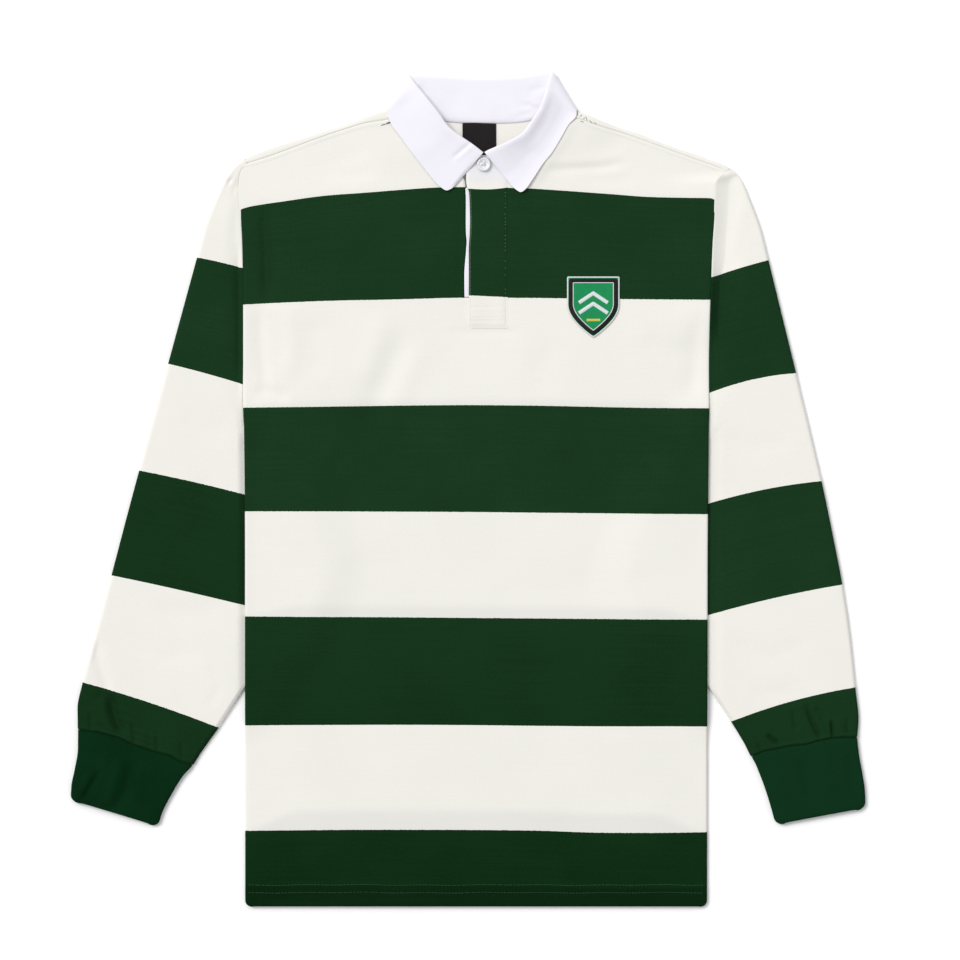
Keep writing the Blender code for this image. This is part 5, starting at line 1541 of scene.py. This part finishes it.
front = make_front(jersey_look)
back = make_back(jersey_look)
sleeve_right = make_sleeve("sleeve_right_cloth", SLEEVE_RIGHT, -1, SLEEVE_RIGHT_FOLDS, jersey_look)
sleeve_left = make_sleeve("sleeve_left_cloth", SLEEVE_LEFT, 1, SLEEVE_LEFT_FOLDS, jersey_look)
cuff_right = make_cuff("cuff_right_cloth", CUFF_RIGHT, -1, rib_look)
cuff_left = make_cuff("cuff_left_cloth", CUFF_LEFT, 1, rib_look)
collar = make_collar(twill_look)
placket = make_placket(jersey_look)
under_strip = make_under_strip(twill_look)
label = make_label(label_look)
badge = make_badge(
    stitched_ground("patch_green", lin(16, 150, 88, 1 / LIGHT)),
    satin("patch_black", lin(24, 18, 22, 1 / LIGHT)),
    satin("patch_white_edge", lin(236, 240, 240, 1 / LIGHT)),
    satin("patch_white", lin(232, 240, 242, 1 / LIGHT), 0.45, 0.0),
    satin("patch_gold", lin(224, 210, 96, 1 / LIGHT), 0.45, 0.0),
)
button, button_thread = make_button(pearl("pearl"), white_thread)


def placket_top_z(x, y):
    return placket_z(x, y) + STRIP / 2 - 0.05


def back_low_z(x, y):
    return np.maximum(back_z(x, y) + back_relief(x, y) - JERSEY / 2, 0.0) + 0.2


def seam_top(x, y):
    """The cloth's top beside the shoulder seam, front or back panel."""
    return back_z(x, y) + 2 * BODY_FOLD_R + JERSEY / 2 + 0.15


hem_path = [(x, -374.8 + 0.3 * math.sin(x / 9.0) + 0.2 * math.sin(x / 23.0)) for x in np.linspace(float(edge_x(-375.0, -1)) + 3.0, float(edge_x(-375.0, 1)) - 3.0, 160)]
hem_low = [(x, y - 7.3) for x, y in hem_path]
hem_stitches = stitches("hem_stitches", [
    stitch_run(hem_path, 3.1, 2.3, surface_top, seed=2),
    stitch_run(hem_low, 3.1, 2.3, lambda x, y: surface_top(x, y) - 0.17, seed=3),
], 0.26, green_thread)
hem_back_stitches = stitches("hem_back_stitches", [
    stitch_run(hem_path, 3.1, 2.3, back_low_z, seed=4),
    stitch_run(hem_low, 3.1, 2.3, back_low_z, seed=5),
], 0.22, green_thread, below=True)

y_hoop_top, y_hoop_low = place(0, 189.5)[1], place(0, 295.8)[1]
left_line = [(float(placket_left(y)) + 1.15, y) for y in np.linspace(PLACKET_Y + 2, 288, 120)]
right_line = [(PLACKET_X[1] - 2.6, y) for y in np.linspace(PLACKET_Y + 2, 300, 60)]
split = lambda line, on: [p for p in line if (y_hoop_low < p[1] < y_hoop_top) == on]
lean = stitch_run(split(left_line, True), 1.9, 1.5, placket_top_z, seed=6)
lean[0][:, 0] -= 0.55
lean[1][:, 0] += 0.55
on_green = stitches("placket_stitches_on_green", [
    lean,
    stitch_run([p for p in split(right_line, True) if not 212 < p[1] < 240], 3.4, 0.9, placket_top_z, seed=7, skip=0.3),
], 0.27, grey_thread)
cream_lines = [
    [p for p in left_line if p[1] <= y_hoop_low], [p for p in right_line if p[1] <= y_hoop_low],
    [(x, 173.6) for x in np.linspace(2.0, 35.0, 12)], [(x, 163.6) for x in np.linspace(2.0, 35.0, 12)],
    [(x, 160.6) for x in np.linspace(2.0, 35.0, 12)],
]  # fmt: skip
on_cream = stitches("placket_stitches_on_cream", [stitch_run(p, 2.5, 1.8, placket_top_z, seed=10 + k) for k, p in enumerate(cream_lines)], 0.26, white_thread)

shoulder_runs = []
for k, (a, b) in enumerate(((-205.0, -84.0), (106.0, 236.0))):
    xs = np.linspace(a, b, 40)
    shoulder_runs.append(stitch_run([(x, float(seam_line(x)) - 4.0) for x in xs], 2.8, 2.0, surface_top, seed=20 + k))
shoulder_stitches = stitches("shoulder_stitches", shoulder_runs, 0.26, white_thread)
# loose overlock threads where the shoulder seam runs under the collar; part of them, the three on the left shoulder
# among them, are dark threads laid where there is only the collar's shade, painted shade
tufts_and_shade = [((577.0, 110.0), (578.0, 116.5)), ((579.6, 117.0), (582.0, 114.8)), ((583.0, 119.4), (585.0, 117.6)), ((585.6, 116.6), (587.4, 121.0)), ((589.0, 119.6), (592.0, 123.4)), ((593.0, 122.0), (597.0, 124.2)), ((580.0, 121.0), (584.0, 122.4)), ((380.5, 125.6), (386.0, 124.0)), ((384.6, 124.4), (391.6, 122.6)), ((386.4, 123.2), (391.8, 121.6))]
tuft_and_shade_runs = []
for a, b in tufts_and_shade:
    (ax, ay), (bx, by) = place(*a), place(*b)
    ends = [np.array([[x, y, float(seam_top(np.array([x]), np.array([y]))[0])]]) for x, y in ((ax, ay), (bx, by))]
    tuft_and_shade_runs.append(ends)
seam_tufts_and_shade = stitches("shoulder_seam_threads_and_shade", tuft_and_shade_runs, 0.25, dark_thread_and_shade, sink=0.1)

# ------------------------------------------------------------------ bodies, hidden nodes
for made in pieces.values():
    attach(made, "root")
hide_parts("front_panel")
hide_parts("back_panel")
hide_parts("sleeve_right")
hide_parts("sleeve_left")
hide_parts("cuff_right")
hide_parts("cuff_left")
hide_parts("collar")
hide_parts("placket_top")
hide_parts("placket_under")
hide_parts("neck_label")
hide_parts("chest_patch")
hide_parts("button")

# ------------------------------------------------------------------ floor, light, camera
floor_look = Look("pale_floor", 0.9)
floor_where = floor_look.tree.nodes.new("ShaderNodeTexCoord").outputs["Object"]
floor_tone = floor_look.span(floor_look.noise(floor_where, 3.0, 2.0), 0.3, 0.7, 0.985, 1.0)
floor_made = floor_look.finish(floor_look.shade((0.985, 0.985, 0.985, 1.0), floor_tone))
floor_mesh = bpy.data.meshes.new("floor")
floor_mesh.from_pydata([(-6, -6, -0.0004), (6, -6, -0.0004), (6, 6, -0.0004), (-6, 6, -0.0004)], [], [(0, 1, 2, 3)])
floor_mesh.materials.append(floor_made)
floor = bpy.data.objects.new("floor", floor_mesh)
bpy.context.scene.collection.objects.link(floor)

world = bpy.data.worlds.new("studio")
bpy.context.scene.world = world
world.use_nodes = True
backdrop = world.node_tree.nodes["Background"]
backdrop.inputs["Color"].default_value = (0.97, 0.98, 1.0, 1.0)
backdrop.inputs["Strength"].default_value = 0.62


def aim(made, where, at):
    from mathutils import Vector

    made.location = where
    made.rotation_euler = (Vector(at) - Vector(where)).to_track_quat("-Z", "Y").to_euler()
    bpy.context.scene.collection.objects.link(made)


key = bpy.data.lights.new("key", "SUN")
key.energy = 1.70
key.angle = math.radians(25.0)
key.color = (1.0, 0.985, 0.96)
aim(bpy.data.objects.new("key", key), (-1.35, 1.0, 2.05), (0, 0, 0))
top = bpy.data.lights.new("top", "AREA")
top.shape, top.size = "SQUARE", 1.6
top.energy = 12.0
aim(bpy.data.objects.new("top", top), (-0.4, 2.0, 2.1), (0, 0.1, 0))

camera_data = bpy.data.cameras.new("camera")
camera = bpy.data.objects.new("camera", camera_data)
bpy.context.scene.collection.objects.link(camera)
bpy.context.scene.camera = camera
camera_data.sensor_width = 36.0
CAMERA_HEIGHT = 3.4
middle_x, middle_y = (c * MM for c in place(480.0, 480.0))
camera.location = (middle_x, middle_y, CAMERA_HEIGHT)
camera.rotation_euler = (0.0, 0.0, 0.0)
camera_data.lens = 36.0 * (CAMERA_HEIGHT - 0.006) / (960.0 * SCALE * MM)
camera_data.clip_end = 50.0

view = bpy.context.scene.view_settings
view.view_transform = "Standard"
view.look = "None"
view.exposure = 0.0
view.gamma = 1.0
